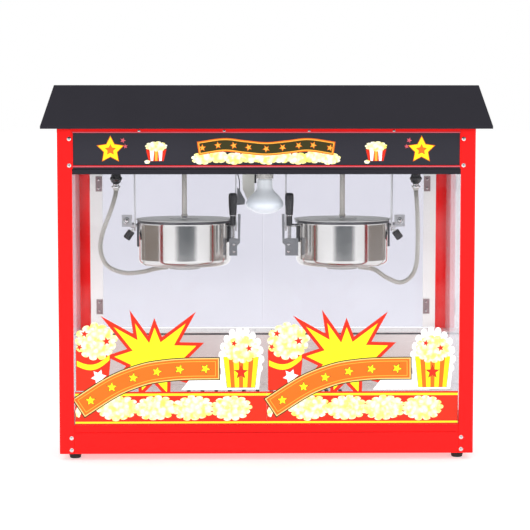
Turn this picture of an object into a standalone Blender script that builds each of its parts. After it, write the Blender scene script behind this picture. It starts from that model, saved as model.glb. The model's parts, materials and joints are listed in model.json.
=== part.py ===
"""Countertop popcorn cabinet with two tilting kettles. Metres, +Z up, the front faces -Y."""

import math

import bmesh
import bpy
from mathutils import Matrix, Vector

for old in list(bpy.data.objects):
    bpy.data.objects.remove(old, do_unlink=True)

GAP = 0.0003
SIDES = (("left", -1), ("right", 1))

# Cabinet
HALF_W = 0.420
HALF_D = 0.220
SHEET = 0.0015
POST_FACE = 0.030
POST_ROUND = 0.003
FOOT_H = 0.0127
FOOT_R = 0.0125
FOOT_X = 0.391
FOOT_Y = 0.188
BASE_Z = 0.013
BASE_FOLD_Z = 0.052
BASE_TOP_Z = 0.072
FOLD_T = 0.0017
DECK_TOP_Z = 0.100
GLASS_T = 0.004
GLASS_GAP = 0.0006
LEDGE_FRONT_Y = 0.140
LEDGE_TOP_Z = 0.217
SIEVE_SLOTS = 12
SIEVE_PITCH = 0.030
SIEVE_SLOT_W = 0.008
SIEVE_SLOT_L = 0.140

# Crumb drawer
DRAWER_HALF_W = 0.180
DRAWER_Y = (-0.100, 0.2215)
DRAWER_Z = (0.0165, 0.0465)
DRAWER_OPENING_HALF_W = 0.1825
DRAWER_OPENING_Z = (0.0155, 0.0485)
PULL_HALF_W = 0.045
PULL_Y = (0.2210, 0.2360)
PULL_Z = (0.0395, 0.0415)

# Header and roof
HEADER_Z = 0.591
HEADER_FLANGE = 0.018
EAVE_Z = 0.671
RAIL_Z = 0.580
CEILING_Z = 0.590
SIGN_HALF_W = 0.388
SIGN_Z = (0.598, 0.663)
SIGN_SHEET_HALF_W = 0.400
SIGN_SHEET_Z = (0.5925, 0.6680)
ROOF_EAVE = (0.450, 0.250)
ROOF_TOP = (0.424, 0.224)
ROOF_LIP = (0.404, 0.204)
ROOF_TOP_Z = 0.758
EAVE_H = 0.005

# Rear switches, named as seen from the front
SWITCHES = (("left_kettle_switch", 0.10), ("lamp_switch", 0.0), ("right_kettle_switch", -0.10))
SWITCH_Z = 0.631
SWITCH_PIVOT_Y = 0.2105
SWITCH_W = 0.014
SWITCH_HALF_H = 0.011
SWITCH_PLAY = (0.0008, 0.0025)
SWITCH_REST = math.radians(-8)

# Rear doors
DOOR_X = (0.0015, 0.389)
DOOR_Y = (0.213, 0.217)
DOOR_Z = (0.2195, 0.5785)
STILE_X = (0.361, 0.389)
STILE_Y = 0.209
HINGE_X = 0.391
HINGE_Y = 0.2228
HINGE_R = 0.0025
HINGE_H = 0.034
HINGE_LOW = (("lower", 0.250), ("upper", 0.527))
LEAF_X = (0.3620, 0.3893)
DOOR_KNOB_X = 0.016
DOOR_KNOB_Z = 0.505

# Lamp and supply
SOCKET_TOP_Z = CEILING_Z - SHEET - GAP
SOCKET_R = (0.0143, 0.0185, 0.0230)
SOCKET_Z = (0.5633, 0.5800, 0.5860)
PLUG_X = {"left": -0.3165, "right": 0.3220}
CONDUIT_R = 0.0049

# Kettles
KETTLE_X = {"left": -0.1713, "right": 0.1652}
POT_R = 0.098
POT_WALL = 0.0018
POT_FLOOR_T = 0.0135
POT_Z = (0.380, 0.476)
BOSS_R = 0.034
BOSS_H = 0.0085
POT_STRIP_OFF = (0.0972, 0.1012)
POT_STRIP_Z = (0.4190, 0.4700)
POT_STRIP_W = 0.018
LID_R = 0.103
LID_Z = (0.4763, 0.4788)
LID_HOLE_R = 0.0066
FLAP_Y = -0.0145
FLAP_HALF_W = 0.0940
FLAP_BARREL_R = 0.0020
FLAP_BARREL_HALF_L = 0.030
TILT_Z = 0.464
PIN_R = 0.0035
PIN_HOLE_R = 0.0038

# Hanger, the distances outboard or inboard of the kettle's middle
OUTER_STRAP = 0.1040
INNER_STRAP = {"left": 0.1080, "right": 0.1190}
STRAP_T = 0.003
STRAP_W = 0.025
SLEEVE_R = 0.006
SLEEVE_END = 0.1125
PIVOT_BOX_OFF = (0.1116, 0.1334)
PIVOT_BOX_Z = (0.4612, 0.4865)
PIVOT_BOX_W = 0.012

# Release grip, its bracket and the lock knob
GRIP_OFF = {"left": 0.1032, "right": 0.1137}
GRIP_Y = -0.026
GRIP_Z = (0.486, 0.534)
STEM_R = 0.003
STEM_LOW_Z = 0.428
BRACKET_OFF = 0.0952
BRACKET_Y = (-0.0395, -0.0365)
BRACKET_LOW_Z = 0.402
SHELF_Y = (-0.0370, -0.0190)
SHELF_Z = (0.4345, 0.4380)
LOCK_LUG_OFF = (0.1090, 0.1150)
LOCK_LUG_Z = (0.4590, 0.4625)
KNOB_TILT = math.radians(55)
KNOB_START = (0.1098, 0.4561)
KNOB_REACH = (0.0050, 0.0250)
KNOB_STEM_R = 0.0025
KNOB_R = 0.0082

# Drive
ROD_R = 0.0054
ROD_Z = (0.484, 0.640)
TONGUE_T = 0.0024
TONGUE_H = 0.0035
TONGUE_SLOT_W = 0.003
ARM_HALF_L = 0.080
ARM_W = 0.008
ARM_T = 0.004
BLADE_T = 0.003
BLADE_H = 0.014
SPINDLE_Z = (0.606, 0.662)
SPINDLE_R = 0.0072
SPINDLE_FLANGE_R = 0.0165
MOTOR_HALF_W = 0.030
MOTOR_Z = (0.612, 0.655)
MOTOR_LEG_T = 0.004
MOTOR_BORE_R = 0.0075
CEILING_HOLE_R = 0.0105

PALETTE = {
    "red": ((0.80, 0.035, 0.03), 0.0, 0.35),
    "black": ((0.05, 0.048, 0.06), 0.0, 0.4),
    "clear": ((0.9, 0.93, 0.95), 0.0, 0.05),
    "steel": ((0.62, 0.62, 0.62), 1.0, 0.3),
    "pale": ((0.75, 0.75, 0.74), 0.0, 0.4),
    "rubber": ((0.02, 0.02, 0.02), 0.0, 0.8),
    "frost": ((0.80, 0.84, 0.86), 0.0, 0.3),
    "grip": ((0.02, 0.02, 0.022), 0.0, 0.35),
}


def material_of(name, colour):
    base, metallic, roughness = PALETTE[colour]
    material = bpy.data.materials.new(name)
    material.use_nodes = True
    shader = material.node_tree.nodes["Principled BSDF"]
    shader.inputs["Base Color"].default_value = (*base, 1)
    shader.inputs["Metallic"].default_value = metallic
    shader.inputs["Roughness"].default_value = roughness
    return material


def make(name, bm, colour, origin=(0, 0, 0)):
    """Turns a bmesh in world coordinates into an object with its origin at the given point."""
    bmesh.ops.remove_doubles(bm, verts=bm.verts, dist=1e-6)
    bmesh.ops.recalc_face_normals(bm, faces=bm.faces)
    bmesh.ops.translate(bm, verts=bm.verts, vec=-Vector(origin))
    mesh = bpy.data.meshes.new(name)
    bm.to_mesh(mesh)
    bm.free()
    mesh.shade_smooth()
    mesh.set_sharp_from_angle(angle=math.radians(35))
    obj = bpy.data.objects.new(name, mesh)
    obj.location = origin
    bpy.context.scene.collection.objects.link(obj)
    if colour:
        mesh.materials.append(material_of(name, colour))
    else:
        obj.hide_render = True
        obj.display_type = "WIRE"
    return obj


def box(x, y, z, bm=None):
    bm = bm or bmesh.new()
    made = bmesh.ops.create_cube(bm, size=1)["verts"]
    scale = Matrix.Diagonal((x[1] - x[0], y[1] - y[0], z[1] - z[0], 1))
    middle = Vector(((x[0] + x[1]) / 2, (y[0] + y[1]) / 2, (z[0] + z[1]) / 2))
    bmesh.ops.transform(bm, matrix=Matrix.Translation(middle) @ scale, verts=made)
    return bm


def prism(points, lo, hi, axis="Z"):
    """A flat outline pulled along an axis. The outline is XY, XZ or YZ."""
    place = {
        "Z": lambda a, b: (a, b, lo),
        "Y": lambda a, b: (a, lo, b),
        "X": lambda a, b: (lo, a, b),
    }[axis]
    along = {"Z": (0, 0, hi - lo), "Y": (0, hi - lo, 0), "X": (hi - lo, 0, 0)}[axis]
    bm = bmesh.new()
    face = bm.faces.new([bm.verts.new(place(a, b)) for a, b in points])
    swept = bmesh.ops.extrude_face_region(bm, geom=[face])["geom"]
    moved = [item for item in swept if isinstance(item, bmesh.types.BMVert)]
    bmesh.ops.translate(bm, verts=moved, vec=along)
    return bm


def turned(profile, centre=(0, 0), steps=24):
    """A solid of revolution about a vertical line, from (radius, z) points."""
    bm = bmesh.new()
    points = [bm.verts.new((radius, 0, z)) for radius, z in profile]
    edges = [bm.edges.new(pair) for pair in zip(points, points[1:])]
    bmesh.ops.spin(
        bm,
        geom=points + edges,
        axis=(0, 0, 1),
        cent=(0, 0, 0),
        angle=2 * math.pi,
        steps=steps,
        use_merge=True,
    )
    bmesh.ops.remove_doubles(bm, verts=bm.verts, dist=1e-6)
    bmesh.ops.translate(bm, verts=bm.verts, vec=(*centre, 0))
    return bm


def rod_between(start, end, radius, steps=16):
    start, end = Vector(start), Vector(end)
    bm = bmesh.new()
    bmesh.ops.create_cone(
        bm,
        cap_ends=True,
        segments=steps,
        radius1=radius,
        radius2=radius,
        depth=(end - start).length,
    )
    turn = Vector((0, 0, 1)).rotation_difference(end - start).to_matrix().to_4x4()
    bmesh.ops.transform(bm, matrix=Matrix.Translation((start + end) / 2) @ turn, verts=bm.verts)
    return bm


def combine(obj, operation, *shapes):
    for shape in shapes:
        helper = make(f"{obj.name}_{operation.lower()}", shape, None)
        helper.parent = obj
        helper.matrix_parent_inverse = Matrix.Translation(obj.location).inverted()
        boolean = obj.modifiers.new(helper.name, "BOOLEAN")
        boolean.operation = operation
        boolean.solver = "EXACT"
        boolean.object = helper
    return obj


def cut(obj, *shapes):
    return combine(obj, "DIFFERENCE", *shapes)


def join(obj, *shapes):
    return combine(obj, "UNION", *shapes)


def span(half):
    return (-half, half)


# Base, posts and feet
pan_w, pan_d = HALF_W - SHEET - GAP, HALF_D - SHEET - GAP
base_pan = make("base_pan", box(span(pan_w), span(pan_d), (BASE_Z, BASE_TOP_Z)), "red")
cut(base_pan, box(span(pan_w - SHEET), span(pan_d - SHEET), (BASE_Z + SHEET, BASE_TOP_Z + 0.01)))
fold_w = HALF_W - POST_FACE - 0.002
fold_y = (-pan_d - FOLD_T + 0.0005, -pan_d + 0.0005)
join(base_pan, box(span(fold_w), fold_y, (BASE_Z, BASE_FOLD_Z)))
cut(base_pan, box(span(DRAWER_OPENING_HALF_W), (pan_d - 0.01, pan_d + 0.01), DRAWER_OPENING_Z))

for where, y_sign in (("front", -1), ("rear", 1)):
    for side, x_sign in SIDES:
        eased = 0.3 * POST_ROUND
        outline = [
            (HALF_W, HALF_D - POST_FACE),
            (HALF_W, HALF_D - POST_ROUND),
            (HALF_W - eased, HALF_D - eased),
            (HALF_W - POST_ROUND, HALF_D),
            (HALF_W - POST_FACE, HALF_D),
            (HALF_W - POST_FACE, HALF_D - SHEET),
            (HALF_W - SHEET, HALF_D - SHEET),
            (HALF_W - SHEET, HALF_D - POST_FACE),
        ]
        placed = [(x_sign * x, y_sign * y) for x, y in outline]
        make(f"{where}_{side}_post", prism(placed, BASE_Z, EAVE_Z), "red")
        foot = [
            (0, 0),
            (FOOT_R - 0.002, 0),
            (FOOT_R - 0.001, 0.001),
            (FOOT_R, FOOT_H),
            (0, FOOT_H),
        ]
        spot = (x_sign * FOOT_X, y_sign * FOOT_Y)
        make(f"{where}_{side}_foot", turned(foot, spot, 20), "rubber")

# Bin: deck and rear ledge
bin_w = pan_w - SHEET - GAP - GLASS_T - GLASS_GAP
front_y = -(pan_d - SHEET - GAP - GLASS_T - 2 * GLASS_GAP)
deck_back_y = LEDGE_FRONT_Y - GLASS_GAP
deck_z = BASE_Z + SHEET + GAP
deck = make(
    "popcorn_floor", box(span(bin_w), (front_y, deck_back_y), (deck_z, DECK_TOP_Z)), "steel"
)
hollow_y = (front_y + SHEET, deck_back_y - SHEET)
cut(deck, box(span(bin_w - SHEET), hollow_y, (0, DECK_TOP_Z - SHEET)))
rear_wall = (deck_back_y - 0.02, deck_back_y + 0.02)
cut(deck, box(span(DRAWER_OPENING_HALF_W), rear_wall, (0, DRAWER_OPENING_Z[1])))
sieve = bmesh.new()
for column in range(SIEVE_SLOTS):
    middle = (column - (SIEVE_SLOTS - 1) / 2) * SIEVE_PITCH
    slot_x = (middle - SIEVE_SLOT_W / 2, middle + SIEVE_SLOT_W / 2)
    box(slot_x, span(SIEVE_SLOT_L / 2), (DECK_TOP_Z - 0.01, DECK_TOP_Z + 0.01), sieve)
cut(deck, sieve)

ledge_z = BASE_TOP_Z + GAP
ledge = make(
    "rear_ledge", box(span(bin_w), (LEDGE_FRONT_Y, pan_d), (ledge_z, LEDGE_TOP_Z)), "steel"
)
hollow_y = (LEDGE_FRONT_Y + SHEET, pan_d - SHEET)
cut(ledge, box(span(bin_w - SHEET), hollow_y, (0, LEDGE_TOP_Z - SHEET)))

# Glass
glass_z = (deck_z, CEILING_Z - SHEET - GAP)
pane_y = (-(pan_d - SHEET - GAP), -(pan_d - SHEET - GAP - GLASS_T))
pane_w = pan_w - SHEET - GAP
make("front_glass", box(span(pane_w), pane_y, glass_z), "clear")
for side, x_sign in SIDES:
    edge = sorted((x_sign * pane_w, x_sign * (pane_w - GLASS_T)))
    make(f"{side}_glass", box(edge, (pane_y[1] + GAP, DOOR_Y[0] - 0.001), glass_z), "clear")

# Header frame, sign and ceiling
header = make("header_frame", box(span(pan_w), span(pan_d), (HEADER_Z, EAVE_Z)), "red")
cut(header, box(span(pan_w - SHEET), span(pan_d - SHEET), (HEADER_Z - 0.01, EAVE_Z - SHEET)))
flange_x, flange_y = span(pan_w - HEADER_FLANGE), span(pan_d - HEADER_FLANGE)
cut(header, box(flange_x, flange_y, (EAVE_Z - 0.01, EAVE_Z + 0.01)))
cut(header, box(span(SIGN_HALF_W), (-pan_d - 0.01, -pan_d + 0.01), SIGN_Z))
opening_w, opening_h = SWITCH_W / 2 + SWITCH_PLAY[0], SWITCH_HALF_H + SWITCH_PLAY[1]
for name, x in SWITCHES:
    opening_z = (SWITCH_Z - opening_h, SWITCH_Z + opening_h)
    cut(header, box((x - opening_w, x + opening_w), (pan_d - 0.01, pan_d + 0.01), opening_z))

sign_y = (-(pan_d - SHEET - GAP), -(pan_d - 2 * SHEET - GAP))
make("sign_panel", box(span(SIGN_SHEET_HALF_W), sign_y, SIGN_SHEET_Z), "black")

ceiling = make("header_floor", box(span(pan_w), span(pan_d), (RAIL_Z, CEILING_Z)), "black")
cut(ceiling, box(span(pan_w - SHEET), span(pan_d - SHEET), (RAIL_Z - 0.01, CEILING_Z - SHEET)))

# Roof
roof_shell = bmesh.new()


def ring(bm, half, z):
    corners = [(-1, -1), (1, -1), (1, 1), (-1, 1)]
    return [bm.verts.new((a * half[0], b * half[1], z)) for a, b in corners]


def skin(bm, loops):
    for low, high in zip(loops, loops[1:]):
        for i in range(4):
            j = (i + 1) % 4
            bm.faces.new((low[i], low[j], high[j], high[i]))


lip_z = EAVE_Z + GAP
inner_eave = (ROOF_EAVE[0] - SHEET, ROOF_EAVE[1] - SHEET)
inner_top = (ROOF_TOP[0] - SHEET, ROOF_TOP[1] - SHEET)
loops = [
    ring(roof_shell, inner_top, ROOF_TOP_Z - SHEET),
    ring(roof_shell, inner_eave, lip_z + EAVE_H + 0.001),
    ring(roof_shell, inner_eave, lip_z + SHEET),
    ring(roof_shell, ROOF_LIP, lip_z + SHEET),
    ring(roof_shell, ROOF_LIP, lip_z),
    ring(roof_shell, ROOF_EAVE, lip_z),
    ring(roof_shell, ROOF_EAVE, lip_z + EAVE_H),
    ring(roof_shell, ROOF_TOP, ROOF_TOP_Z),
]
skin(roof_shell, loops)
roof_shell.faces.new(loops[0])
roof_shell.faces.new(loops[-1])
make("roof", roof_shell, "black")

# Rocker switches, resting in the off position
for name, x in SWITCHES:
    pivot = (x, SWITCH_PIVOT_Y, SWITCH_Z)
    proud, waist = 0.0095, 0.0080
    rocker = [
        (-SWITCH_HALF_H, 0.0),
        (-SWITCH_HALF_H, proud),
        (0.0, waist),
        (SWITCH_HALF_H, proud),
        (SWITCH_HALF_H, 0.0),
    ]
    outline = [(SWITCH_PIVOT_Y + out, SWITCH_Z + up) for up, out in rocker]
    shape = prism(outline, x - SWITCH_W / 2, x + SWITCH_W / 2, "X")
    turn = Matrix.Rotation(SWITCH_REST, 4, "X")
    bmesh.ops.rotate(shape, verts=shape.verts, cent=pivot, matrix=turn)
    make(name, shape, "grip", pivot)

# Rear doors
for side, x_sign in SIDES:
    axis = (x_sign * HINGE_X, HINGE_Y, 0)
    panel = sorted(x_sign * x for x in DOOR_X)
    make(f"{side}_door", box(panel, DOOR_Y, DOOR_Z), "clear", axis)
    strip = sorted(x_sign * x for x in STILE_X)
    make(f"{side}_door_stile", box(strip, (STILE_Y, DOOR_Y[0] - GAP), DOOR_Z), "pale", axis)
    for level, low in HINGE_LOW:
        barrel = [(axis[0], HINGE_Y, low), (axis[0], HINGE_Y, low + HINGE_H)]
        hinge = make(
            f"{side}_door_{level}_hinge", rod_between(*barrel, HINGE_R, 14), "steel", axis
        )
        leaf_y = DOOR_Y[1] + GAP
        leaf = [
            (LEAF_X[0], leaf_y),
            (LEAF_X[1], leaf_y),
            (LEAF_X[1], HINGE_Y),
            (LEAF_X[1] - SHEET, HINGE_Y),
            (LEAF_X[1] - SHEET, leaf_y + SHEET),
            (LEAF_X[0], leaf_y + SHEET),
        ]
        join(hinge, prism([(x_sign * x, y) for x, y in leaf], low, low + HINGE_H))
    knob = [
        (0, 0.0),
        (0.004, 0.0),
        (0.004, 0.008),
        (0.009, 0.011),
        (0.010, 0.016),
        (0.007, 0.0195),
        (0, 0.0195),
    ]
    shape = turned(knob, (0, 0), 18)
    lay = Matrix.Rotation(math.radians(-90), 4, "X")
    spot = Matrix.Translation((x_sign * DOOR_KNOB_X, DOOR_Y[1] + GAP, DOOR_KNOB_Z))
    bmesh.ops.transform(shape, matrix=spot @ lay, verts=shape.verts)
    make(f"{side}_door_knob", shape, "grip", axis)

# Crumb drawer
drawer = make("crumb_drawer", box(span(DRAWER_HALF_W), DRAWER_Y, DRAWER_Z), "steel")
tray_y = (DRAWER_Y[0] + SHEET, pan_d - GAP / 2)
cut(drawer, box(span(DRAWER_HALF_W - SHEET), tray_y, (DRAWER_Z[0] + SHEET, DRAWER_Z[1] + 0.01)))
join(drawer, box(span(PULL_HALF_W), PULL_Y, PULL_Z))

# Lamp
bore, body_r, flange_r = SOCKET_R
mouth_z, flange_z, seat_z = SOCKET_Z
socket = [
    (bore, mouth_z),
    (body_r, mouth_z),
    (body_r, flange_z),
    (flange_r, flange_z),
    (flange_r, SOCKET_TOP_Z),
    (0, SOCKET_TOP_Z),
    (0, seat_z),
    (bore, seat_z),
    (bore, mouth_z),
]
make("lamp_socket", turned(socket), "grip")
bulb = [
    (0, 0.488),
    (0.014, 0.4895),
    (0.026, 0.4940),
    (0.035, 0.5005),
    (0.0395, 0.5085),
    (0.0400, 0.5140),
    (0.0375, 0.5210),
    (0.0300, 0.5300),
    (0.0220, 0.5385),
    (0.0172, 0.5460),
    (0.0165, 0.5600),
    (0.0132, 0.5630),
    (0.0132, 0.5840),
    (0, 0.5850),
]
make("lamp_bulb", turned(bulb), "frost")

# Supply plugs and flexible conduits, each from its plug to the boss under its kettle
CONDUIT = {
    "left": [
        (-0.3165, 0.5400),
        (-0.328, 0.500),
        (-0.346, 0.445),
        (-0.350, 0.405),
        (-0.335, 0.377),
        (-0.300, 0.362),
        (-0.262, 0.3645),
        (-0.234, 0.3712),
        (-0.2063, 0.3748),
    ],
    "right": [
        (0.3220, 0.5405),
        (0.3265, 0.480),
        (0.3270, 0.425),
        (0.3240, 0.378),
        (0.3100, 0.350),
        (0.288, 0.3400),
        (0.258, 0.3530),
        (0.234, 0.3690),
        (0.2002, 0.3748),
    ],
}
for side, x_sign in SIDES:
    plug = [
        (0, 0.5420),
        (0.0066, 0.5420),
        (0.0066, 0.5480),
        (0.0098, 0.5484),
        (0.0098, 0.5544),
        (0.0056, 0.5560),
        (0.0108, 0.5605),
        (0.0131, 0.5665),
        (0.0126, 0.5720),
        (0.0094, 0.5772),
        (0.0056, 0.5800),
        (0.0056, SOCKET_TOP_Z),
        (0, SOCKET_TOP_Z),
    ]
    make(f"{side}_plug", turned(plug, (PLUG_X[side], 0), 20), "grip")
    path = bpy.data.curves.new(f"{side}_conduit", "CURVE")
    path.dimensions = "3D"
    path.resolution_u = 3
    path.bevel_depth = CONDUIT_R
    path.bevel_resolution = 2
    path.use_fill_caps = True
    spline = path.splines.new("BEZIER")
    spline.bezier_points.add(len(CONDUIT[side]) - 1)
    for point, (x, z) in zip(spline.bezier_points, CONDUIT[side]):
        point.co = (x, 0, z)
        point.handle_left_type = "AUTO"
        point.handle_right_type = "AUTO"
    path.materials.append(material_of(f"{side}_conduit", "steel"))
    tube = bpy.data.objects.new(f"{side}_conduit", path)
    bpy.context.scene.collection.objects.link(tube)


def pot_profile(low, rim):
    """Round-cornered pan with a thick floor and a bead round its rim."""
    inner = POT_R - POT_WALL
    bead = POT_R + 0.0020
    return [
        (0, low),
        (POT_R - 0.014, low),
        (POT_R - 0.0055, low + 0.0032),
        (POT_R, low + 0.013),
        (POT_R, rim - 0.0045),
        (bead, rim - 0.0045),
        (bead, rim),
        (inner, rim),
        (inner, low + 0.0220),
        (inner - 0.0042, low + POT_FLOOR_T),
        (0, low + POT_FLOOR_T),
    ]


def strap_outline(half, low, top):
    """A flat bar in YZ with a round lower end centred at low."""
    turns = [math.pi * i / 8 for i in range(9)]
    lower = [(half * math.cos(turn), low - half * math.sin(turn)) for turn in turns]
    return [(half, top), *lower, (-half, top)]


# Kettles
for side, x_sign in SIDES:
    cx = KETTLE_X[side]
    tilt = (cx, 0, TILT_Z)

    def across(near, far, at=cx, sign=x_sign):
        """An X range at these distances outboard of the kettle's middle."""
        return sorted((at + sign * near, at + sign * far))

    def upright(low, high, radius, steps=16, at=cx):
        return rod_between((at, 0, low), (at, 0, high), radius, steps)

    def down_screw(reach):
        off = KNOB_START[0] + reach * math.cos(KNOB_TILT)
        return (cx + x_sign * off, 0, KNOB_START[1] - reach * math.sin(KNOB_TILT))

    def axle(near, far, radius, z=TILT_Z, steps=14):
        ends = across(near, far)
        return rod_between((ends[0], 0, z), (ends[1], 0, z), radius, steps)

    low, rim = POT_Z
    inner = INNER_STRAP[side]
    pot = make(f"{side}_pot", turned(pot_profile(low, rim), (cx, 0), 36), "steel", tilt)
    join(pot, axle(POT_R - 0.001, OUTER_STRAP + 2 * STRAP_T, PIN_R))
    join(pot, axle(-inner - STRAP_T + 0.0005, -POT_R + 0.001, PIN_R))
    join(pot, box(across(*POT_STRIP_OFF), span(POT_STRIP_W / 2), POT_STRIP_Z))
    join(pot, upright(low - BOSS_H, low + 0.002, BOSS_R, 20))

    disc = [(0, LID_Z[0]), (LID_R, LID_Z[0]), (LID_R, LID_Z[1]), (0, LID_Z[1])]
    lid_slab = (LID_Z[0] - 0.05, LID_Z[1] + 0.05)
    lid = make(f"{side}_lid_plate", turned(disc, (cx, 0), 36), "steel", tilt)
    cut(lid, box(across(-0.2, 0.2), (-0.2, FLAP_Y), lid_slab))
    cut(lid, upright(*lid_slab, LID_HOLE_R))

    barrel_y = FLAP_Y - 0.0005 - FLAP_BARREL_R
    flap_axis = (cx, barrel_y, (LID_Z[0] + LID_Z[1]) / 2 + 0.0012)
    flap = make(f"{side}_lid_flap", turned(disc, (cx, 0), 36), "steel", flap_axis)
    cut(flap, box(across(-0.2, 0.2), (FLAP_Y - GAP - 0.0002, 0.2), lid_slab))
    cut(flap, box(across(FLAP_HALF_W, 0.2), span(0.2), lid_slab))
    cut(flap, box(across(-0.2, -FLAP_HALF_W), span(0.2), lid_slab))
    barrel = [(cx + end, *flap_axis[1:]) for end in span(FLAP_BARREL_HALF_L)]
    join(flap, rod_between(*barrel, FLAP_BARREL_R, 12))

    # The bracket's front plate reaches up beside the grip, and its shelf guides the grip's stem.
    off = GRIP_OFF[side]
    grip_x = cx - x_sign * off
    corners = [
        (BRACKET_OFF, BRACKET_LOW_Z),
        (off + 0.0090, BRACKET_LOW_Z),
        (off + 0.0090, 0.4235),
        (off + 0.0150, 0.4290),
        (off + 0.0165, 0.4900),
        (off + 0.0105, 0.4900),
        (off + 0.0105, SHELF_Z[1]),
        (BRACKET_OFF, SHELF_Z[1]),
    ]
    outline = [(cx - x_sign * x, z) for x, z in corners]
    bracket = make(f"{side}_lever_bracket", prism(outline, *BRACKET_Y, "Y"), "steel", tilt)
    join(bracket, box(across(-off - 0.0070, -BRACKET_OFF - 0.002), SHELF_Y, SHELF_Z))
    stem = [(grip_x, GRIP_Y, SHELF_Z[0] - 0.01), (grip_x, GRIP_Y, SHELF_Z[1] + 0.01)]
    cut(bracket, rod_between(*stem, STEM_R + 0.0004, 14))
    grip = [
        (0, STEM_LOW_Z),
        (STEM_R, STEM_LOW_Z),
        (STEM_R, TILT_Z),
        (0.0050, TILT_Z),
        (0.0050, GRIP_Z[0] - 0.006),
        (0.0068, GRIP_Z[0] - 0.006),
        (0.0068, GRIP_Z[0]),
        (0.0078, GRIP_Z[0]),
        (0.0093, GRIP_Z[1] - 0.008),
        (0.0070, GRIP_Z[1] - 0.001),
        (0.0040, GRIP_Z[1]),
        (0, GRIP_Z[1]),
    ]
    grip_at = (grip_x, GRIP_Y, SHELF_Z[1])
    make(f"{side}_release_grip", turned(grip, (grip_x, GRIP_Y), 16), "grip", grip_at)

    # The lock knob's screw points outward and down from the lug under the pivot box.
    knob_near, knob_far = KNOB_REACH
    stem = rod_between(down_screw(0), down_screw(knob_near + 0.002), KNOB_STEM_R, 12)
    knob = make(f"{side}_lock_knob", stem, "grip", down_screw(0))
    join(knob, rod_between(down_screw(knob_near), down_screw(knob_far), KNOB_R, 18))

    stirrer_low = low + POT_FLOOR_T + GAP
    stirrer_top = ROD_Z[0] - GAP
    stirrer = make(f"{side}_stirrer", upright(stirrer_low, stirrer_top, ROD_R), "steel", tilt)
    arm_z = (stirrer_low + 0.001, stirrer_low + 0.001 + ARM_T)
    blade_z = (arm_z[0], arm_z[1] + BLADE_H)
    join(stirrer, box(across(-ARM_HALF_L, ARM_HALF_L), span(ARM_W / 2), arm_z))
    join(stirrer, box(across(ARM_HALF_L - BLADE_T, ARM_HALF_L), span(ARM_W / 2), blade_z))
    slot_z = (stirrer_top - TONGUE_H - 0.0005, stirrer_top + 0.01)
    cut(stirrer, box(across(-TONGUE_SLOT_W / 2, TONGUE_SLOT_W / 2), span(0.02), slot_z))

    # The rod has a flange and a tongue below, and runs up through the spindle.
    foot_z, top_z = ROD_Z
    rod = [
        (0, foot_z),
        (ROD_R + 0.0015, foot_z),
        (ROD_R + 0.0015, foot_z + 0.003),
        (ROD_R, foot_z + 0.004),
        (ROD_R, top_z),
        (0, top_z),
    ]
    rod = make(f"{side}_drive_rod", turned(rod, (cx, 0), 16), "steel", (cx, 0, foot_z))
    tongue_z = (foot_z - TONGUE_H, foot_z + 0.001)
    join(rod, box(across(-TONGUE_T / 2, TONGUE_T / 2), span(ROD_R - 0.0005), tongue_z))

    bore = ROD_R + GAP
    flange_top = SPINDLE_Z[0] + 0.004
    spindle = [
        (bore, SPINDLE_Z[0]),
        (SPINDLE_FLANGE_R, SPINDLE_Z[0]),
        (SPINDLE_FLANGE_R, flange_top),
        (SPINDLE_R, flange_top),
        (SPINDLE_R, SPINDLE_Z[1]),
        (bore, SPINDLE_Z[1]),
        (bore, SPINDLE_Z[0]),
    ]
    shape = turned(spindle, (cx, 0), 16)
    make(f"{side}_motor_spindle", shape, "steel", (cx, 0, SPINDLE_Z[0]))

    motor_x = across(-MOTOR_HALF_W, MOTOR_HALF_W)
    motor = make(f"{side}_gear_motor", box(motor_x, span(MOTOR_HALF_W), MOTOR_Z), "steel")
    leg_z = (CEILING_Z + GAP, MOTOR_Z[0] + 0.001)
    for y_sign in (1, -1):
        leg_y = sorted((y_sign * MOTOR_HALF_W, y_sign * (MOTOR_HALF_W - MOTOR_LEG_T)))
        join(motor, box(motor_x, leg_y, leg_z))
    cut(motor, upright(SPINDLE_Z[0] - 0.006, SPINDLE_Z[1] + 0.008, MOTOR_BORE_R))

    # The hanger is a flat bar bent into a U: a bridge above the ceiling and two straps below it.
    bridge_z = (CEILING_Z + GAP, CEILING_Z + GAP + STRAP_T)
    bridge_x = across(-inner - STRAP_T, OUTER_STRAP + STRAP_T)
    half = STRAP_W / 2
    hanger = make(f"{side}_kettle_hanger", box(bridge_x, span(half), bridge_z), "steel")
    slot_z = (CEILING_Z - 0.005, CEILING_Z + 0.005)
    for ends in (across(OUTER_STRAP, OUTER_STRAP + STRAP_T), across(-inner - STRAP_T, -inner)):
        join(hanger, prism(strap_outline(half, TILT_Z, bridge_z[1] - 0.0008), *ends, "X"))
        slot = (ends[0] - GLASS_GAP, ends[1] + GLASS_GAP)
        cut(ceiling, box(slot, span(half + GLASS_GAP), slot_z))
    join(hanger, axle(OUTER_STRAP, SLEEVE_END, SLEEVE_R, steps=16))
    join(hanger, box(across(*PIVOT_BOX_OFF), span(PIVOT_BOX_W / 2), PIVOT_BOX_Z))
    join(hanger, box(across(*LOCK_LUG_OFF), span(PIVOT_BOX_W / 2 - 0.0005), LOCK_LUG_Z))
    cut(
        hanger,
        axle(0.100, OUTER_STRAP + 2 * STRAP_T + 0.0007, PIN_HOLE_R),
        axle(-0.130, -0.100, PIN_HOLE_R),
        upright(bridge_z[0] - 0.01, bridge_z[1] + 0.01, CEILING_HOLE_R, 20),
    )
    cut(ceiling, upright(bridge_z[0] - 0.01, bridge_z[1] + 0.01, CEILING_HOLE_R, 20))
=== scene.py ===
import json
import math
import random

import bmesh
import bpy
from mathutils import Matrix, Vector

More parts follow.
